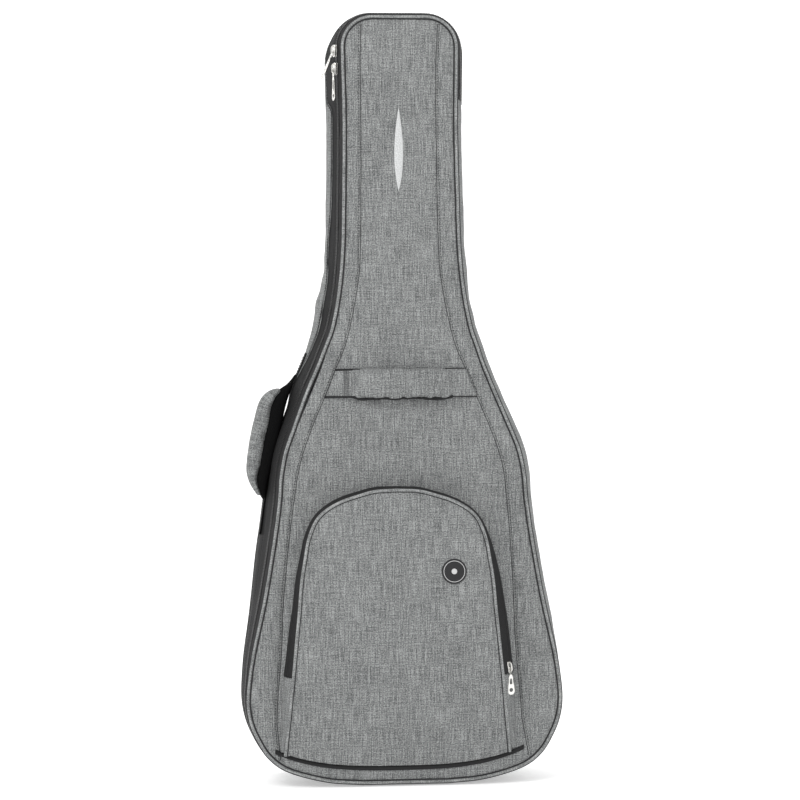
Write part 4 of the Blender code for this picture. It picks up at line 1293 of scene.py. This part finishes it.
def rounded_plate(outline, holes, depth, bevel):
    """Plate with holes from a filled curve, its edges rounded, in X and Y."""
    curve = bpy.data.curves.new("plate", "CURVE")
    curve.dimensions = "2D"
    curve.fill_mode = "BOTH"
    curve.extrude = depth / 2 - bevel
    curve.bevel_depth = bevel
    curve.bevel_resolution = 2
    curve.offset = -bevel
    for ring in [outline] + holes:
        spl = curve.splines.new("POLY")
        spl.points.add(len(ring) - 1)
        for point, (x, y) in zip(spl.points, ring):
            point.co = (x, y, 0.0, 1.0)
        spl.use_cyclic_u = True
    holder = linked("plate", curve)
    bpy.context.view_layer.update()
    mesh = bpy.data.meshes.new_from_object(holder.evaluated_get(bpy.context.evaluated_depsgraph_get()))
    bpy.data.objects.remove(holder, do_unlink=True)
    return mesh


def circle(x, y, r, n=24):
    return [(x + r * cos(2 * pi * k / n), y + r * sin(2 * pi * k / n)) for k in range(n)]


def hard_piece(name, mesh, mat, frame_of, body, node_name=None):
    """Metal or plastic piece made at the origin and set in its place."""
    mesh.materials.clear()
    mesh.materials.append(mat)
    smooth_shaded(mesh)
    mesh.set_sharp_from_angle(angle=radians(35))
    obj = linked(name, mesh)
    obj.matrix_world = frame_of
    if node_name:
        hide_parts(node_name)
    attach(obj, body)


def wire_mesh(points, r, sides=10):
    """Slightly flat wire along points that keep to X and Z."""
    bm = bmesh.new()
    rings = []
    for i, p in enumerate(points):
        a = points[max(i - 1, 0)]
        b = points[min(i + 1, len(points) - 1)]
        top = REAR.cross((b - a).normalized()).normalized()
        turns = [2 * pi * k / sides for k in range(sides)]
        rings.append([bm.verts.new(p + REAR * r * 1.25 * cos(t) + top * r * sin(t)) for t in turns])
    for ra, rb in zip(rings, rings[1:]):
        for k in range(sides):
            bm.faces.new((ra[k], ra[(k + 1) % sides], rb[(k + 1) % sides], rb[k]))
    bm.faces.new(rings[0])
    bm.faces.new(list(reversed(rings[-1])))
    bmesh.ops.recalc_face_normals(bm, faces=bm.faces)
    mesh = bpy.data.meshes.new("wire")
    bm.to_mesh(mesh)
    bm.free()
    return mesh


SHIELD = smooth_outline([(-0.0080, -0.0034), (-0.0020, -0.0042), (0.0040, -0.0054), (0.0078, -0.0046),
                         (0.0082, 0.0), (0.0078, 0.0046), (0.0040, 0.0054), (-0.0020, 0.0042),
                         (-0.0080, 0.0034), (-0.0086, 0.0)])


BRIDGE = spline([(-0.0062, 0, 0.0006), (-0.0060, 0, 0.0030), (-0.0040, 0, 0.0044), (0.0, 0, 0.0047),
                 (0.0040, 0, 0.0044), (0.0060, 0, 0.0030), (0.0062, 0, 0.0006)], 6)
NECK = smooth_outline([(0.0007, -0.0024), (0.0007, 0.0024), (-0.0024, 0.0037), (-0.0076, 0.0034),
                       (-0.0106, 0.0018), (-0.0106, -0.0018), (-0.0076, -0.0034), (-0.0024, -0.0037)], 5)
NECK_SLOT = smooth_outline([(-0.0007, -0.0019), (-0.0007, 0.0019), (-0.0060, 0.0021), (-0.0074, 0.0),
                            (-0.0060, -0.0021)], 4)


def dressed_slider(slider, pull, length, width, at, up, off, swing, twist=0.0):
    """Slider of two plates and a bridge, its pull a loop and a tab turned by twist."""
    at, tab_at = slider_frames(at, up, off, swing)
    crown_at = at @ Matrix.Translation((0, 0, 0.0004))
    under_at = at @ Matrix.Translation((0, 0, -0.0018))
    hard_piece(slider + "_crown", rounded_plate(SHIELD, [], 0.0026, 0.0007), NICKEL, crown_at, slider, slider)
    hard_piece(slider + "_underplate", rounded_plate(SHIELD, [], 0.0014, 0.0004), NICKEL, under_at, slider)
    hard_piece(slider + "_bridge_wire", wire_mesh(BRIDGE, 0.0009), NICKEL, at, slider)
    hard_piece(pull + "_loop", rounded_plate(NECK, [NECK_SLOT], 0.0012, 0.0003), NICKEL, tab_at, pull, pull)
    w = width / 2
    tab = smooth_outline([(-0.0100, -0.0012), (-0.0100, 0.0012), (-0.0135, 0.0030), (-0.0200, 0.0034),
                          (-length + 0.012, w * 0.86), (-length + 0.004, w), (-length, w * 0.55),
                          (-length - 0.0006, 0.0), (-length, -w * 0.55), (-length + 0.004, -w),
                          (-length + 0.012, -w * 0.86), (-0.0200, -0.0034), (-0.0135, -0.0030)], 5)
    window = smooth_outline([(-0.0165, -0.0012), (-0.0165, 0.0012), (-length + 0.015, 0.0016),
                             (-length + 0.015, -0.0016)], 5)
    holes = [circle(-length + 0.0062, 0.0, 0.0026), window]
    turned = tab_at @ Matrix.Rotation(radians(twist), 4, "X")
    hard_piece(pull + "_tab", rounded_plate(tab, holes, 0.0016, 0.0005), NICKEL, turned, pull)


dressed_slider("main_slider_low", "main_pull_low", 0.044, 0.0100, *coil_frame(LOW_SLIDER_Z), 0.0)
dressed_slider("main_slider_top", "main_pull_top", 0.044, 0.0100, *coil_frame(TOP_SLIDER_Z), radians(24))
dressed_slider("pocket_slider", "pocket_pull", 0.038, 0.0105, Vector((POCKET_X + 0.1527, -0.0938, 0.167)),
               Vector((-0.090, 0, 1.0)), Vector((0.85, -0.53, 0.072)), 0.0, -42.0)

# ---------------------------------------------------------- carrying straps
# x, z, y, half width and half thickness down a strap
STRAP_KEYS = [(0.049, 0.629, 0.0842, 0.0250, 0.0030), (0.052, 0.609, 0.0862, 0.0270, 0.0050),
              (0.057, 0.585, 0.0862, 0.0290, 0.0064), (0.070, 0.520, 0.0862, 0.0310, 0.0070),
              (0.085, 0.440, 0.0862, 0.0310, 0.0070), (0.095, 0.360, 0.0858, 0.0290, 0.0064),
              (0.099, 0.325, 0.0850, 0.0255, 0.0050), (0.101, 0.300, 0.0845, 0.0195, 0.0030)]


def strap_stations(side):
    """Along a strap: centre, direction across, half width and half thickness."""
    keys = spaced(spline(STRAP_KEYS, 10), 0.0045)
    out = []
    for i, q in enumerate(keys):
        a = keys[max(i - 1, 0)]
        b = keys[min(i + 1, len(keys) - 1)]
        run = Vector((side * (b[0] - a[0]), 0.0, b[1] - a[1])).normalized()
        out.append((Vector((side * q[0], q[2], q[1])), Vector((-run.z, 0.0, run.x)), q[3], q[4]))
    return out


def strap_pad(side, label):
    stations = strap_stations(side)
    rows, uvs, pins = [], [], []
    around = 32
    s = 0.0
    for i, (p, across, wide, deep) in enumerate(stations):
        if i:
            s += (p - stations[i - 1][0]).length
        ring, uv = [], []
        for k in range(around):
            turn = 2 * pi * k / around
            px, py = rounded_square(turn, 0.55, 0.85)
            ring.append(p + across * (px * wide) + REAR * (py * deep * (0.86 if py > 0 else 1.0)))
            uv.append((px * wide, s))
            if abs(cos(turn)) > 0.96 or i < 2 or i > len(stations) - 3:
                pins.append(i * around + k)
        rows.append(ring)
        uvs.append(uv)
    pad = sweep("strap_%s_cushion" % label, rows, GREY, tube=True, uvs=uvs)
    puffed(pad, pins, 2.5, 0.05, 0.0022)
    softened(pad)
    body = "strap_" + label
    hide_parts("strap_%s_pad" % label)
    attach(pad, body)
    for edge in (-1, 1):
        line = [p + across * (edge * wide) for p, across, wide, deep in stations]
        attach(tube("strap_%s_binding_%d" % (label, edge + 1), line, 0.0019, BLACK, sides=10), body)
        run = [p + across * (edge * (wide - 0.0042)) + Vector((0, deep * 0.70 + 0.0006, 0))
               for p, across, wide, deep in stations[2:-2]]
        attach(stitches("strap_%s_edge_stitch_%d" % (label, edge + 1), run, REAR, GREY_THREAD), body)
    section = ((-0.0125, -0.0010), (-0.0125, 0.0012), (0.0, 0.0017), (0.0125, 0.0012), (0.0125, -0.0010))
    rows = [[p + across * w + Vector((0, deep * 0.88 + 0.0014 + lift, 0)) for w, lift in section]
            for p, across, wide, deep in stations]
    uvs = [[(k * 0.0062, i * 0.0045) for k in range(len(section))] for i in range(len(stations))]
    ribbon = sweep("strap_%s_ribbon" % label, rows, BLACK, tube=True, uvs=uvs)
    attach(ribbon, body)
    for w in (-0.0105, 0.0105):
        run = [p + across * w + Vector((0, deep * 0.88 + 0.0029, 0))
               for p, across, wide, deep in stations[1:-1]]
        name = "strap_%s_ribbon_stitch_%d" % (label, int(w * 1e4))
        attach(stitches(name, run, REAR, GREY_THREAD), body)


HOOK = smooth_outline([(-0.0150, 0.0120), (0.0, 0.0128), (0.0150, 0.0120), (0.0142, 0.0020),
                       (0.0125, -0.0060), (0.0090, -0.0190), (0.0, -0.0202), (-0.0090, -0.0190),
                       (-0.0125, -0.0060), (-0.0142, 0.0020)], 5)
WEB_SLOT = [(-0.0125, 0.0070), (0.0125, 0.0070), (0.0125, 0.0098), (-0.0125, 0.0098)]
MOUTH = [(-0.0050, -0.0050), (0.0050, -0.0050), (0.0048, -0.0162), (-0.0048, -0.0162)]
HOOK_SLOTS = [smooth_outline(WEB_SLOT, 4), smooth_outline(MOUTH, 4)]
GATE = [Vector((-0.0072 + 0.0012 * k, 0.0, 0.0030)) for k in range(13)]
for side, label in ((1, "left"), (-1, "right")):
    strap_pad(side, label)
    body = "strap_" + label
    at = placed(Vector((side * 0.1432, 0.0822, 0.1118)), Vector((1, 0, 0)), FRONT)
    hook_mesh = rounded_plate(HOOK, HOOK_SLOTS, 0.0044, 0.0012)
    hard_piece("strap_%s_snap" % label, hook_mesh, PLASTIC, at, body, "strap_%s_hook" % label)
    hard_piece("strap_%s_gate" % label, wire_mesh(GATE, 0.0013), PLASTIC, at, body)

yoke_outline = smooth_outline([(-0.0850, 0.6345), (-0.045, 0.6340), (0.0, 0.6340), (0.045, 0.6340),
                               (0.0850, 0.6345), (0.0850, 0.6560), (0.0800, 0.6770), (0.045, 0.6780),
                               (0.0, 0.6780), (-0.045, 0.6780), (-0.0800, 0.6770), (-0.0850, 0.6560)])
yoke = gridded("yoke_patch", yoke_outline, 0.006, lambda x, z: back_height(x, z) + 0.0026, BLACK, 1)
thicken(yoke, 0.0024, -1.0)
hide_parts("strap_yoke")
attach(yoke, "bag")
centre = Vector((0.0, 0.656))
for shrink in (0.955, 0.86):
    run = []
    for x, z in yoke_outline + yoke_outline[:1]:
        q = centre + Vector(((x - centre.x) * shrink, (z - centre.y) * (shrink - 0.06)))
        run.append(Vector((q.x, back_height(q.x, q.y) + 0.0030, q.y)))
    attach(stitches("yoke_stitching_%d" % (shrink * 100), run, REAR, GREY_THREAD), "bag")
for side in (-1, 1):
    run = []
    for k in range(4):
        for j in range(9):
            f = j / 8
            x = 0.026 + 0.046 * f if k % 2 == 0 else 0.072 - 0.046 * f
            z = 0.6405 + (0.0090 * k) + 0.0090 * f
            run.append(Vector((side * x, back_height(side * x, z) + 0.0030, z)))
    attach(stitches("yoke_bar_%d" % side, run, REAR, GREY_THREAD), "bag")

# ------------------------------------------- CAD pieces that keep their form
KEPT = {BLACK: ("zip_end_top", "zip_end_low", "neck_strap", "strap_left_web", "strap_right_web",
                "strap_left_tab", "strap_right_tab"),
        PLUSH: ("wall_lining", "back_lining", "front_lining", "neck_rest", "end_pad"),
        FOAM: ("wall_foam_left", "wall_foam_right", "wall_foam_head", "wall_foam_base", "front_foam",
               "back_foam")}
for mat, names in KEPT.items():
    for name in names:
        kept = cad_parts[name]
        kept.data.materials.clear()
        kept.data.materials.append(mat)
        box_uv(kept)

# ------------------------------------------------------------------- stage
# paper floor that curves up into a backdrop far behind
FLOOR_HALF, CURVE_START, CURVE_R, PAPER_TOP = 7.0, 5.0, 1.4, 6.0
curve = [(CURVE_START + CURVE_R * sin(radians(a * 3)), CURVE_R - CURVE_R * cos(radians(a * 3)))
         for a in range(1, 31)]
profile = [(-FLOOR_HALF, 0.0), (CURVE_START, 0.0)] + curve + [(CURVE_START + CURVE_R, PAPER_TOP)]
verts = [(x, y, z) for y, z in profile for x in (-FLOOR_HALF, FLOOR_HALF)]
faces = [(2 * i, 2 * i + 1, 2 * i + 3, 2 * i + 2) for i in range(len(profile) - 1)]
floor_mesh = bpy.data.meshes.new("studio_floor")
floor_mesh.from_pydata(verts, [], faces)
paper = plain("studio_paper", (0.84, 0.84, 0.84), 0.9)
paper_shader = paper.node_tree.nodes["Principled BSDF"]
paper_shader.inputs["Emission Color"].default_value = (1.0, 1.0, 1.0, 1.0)
paper_shader.inputs["Emission Strength"].default_value = 0.42
floor_mesh.materials.append(paper)
smooth_shaded(floor_mesh)
linked("studio_floor", floor_mesh)

world = bpy.data.worlds.new("studio")
world.use_nodes = True
world.node_tree.nodes["Background"].inputs["Color"].default_value = (1.0, 1.0, 1.0, 1.0)
world.node_tree.nodes["Background"].inputs["Strength"].default_value = 1.0
bpy.context.scene.world = world


def area_light(name, at, aim, size, power):
    data = bpy.data.lights.new(name, "AREA")
    data.shape = "RECTANGLE"
    data.size = size[0]
    data.size_y = size[1]
    data.energy = power
    lamp = linked(name, data)
    lamp.location = at
    lamp.rotation_euler = (Vector(aim) - Vector(at)).to_track_quat("-Z", "Y").to_euler()


area_light("key", (-1.5, -2.4, 2.8), (0, 0, 0.75), (1.6, 1.2), 46)
area_light("fill", (2.4, -2.2, 1.2), (0, 0, 0.5), (1.5, 2.0), 8)

camera_data = bpy.data.cameras.new("camera")
camera = linked("camera", camera_data)
camera_data.lens = 100.0
camera_data.sensor_width = 36.0
distance = 3.17
yaw = radians(4.5)
target = Vector((0.0, -0.03, 0.543))
camera.location = target + Vector((-distance * sin(yaw), -distance * cos(yaw), 0.0))
aim = (target - camera.location).to_track_quat("-Z", "Y").to_matrix().to_4x4()
camera.matrix_world = Matrix.Translation(camera.location) @ aim @ Matrix.Rotation(radians(-0.5), 4, "Z")
bpy.context.scene.camera = camera
bpy.context.scene.view_settings.view_transform = "Standard"
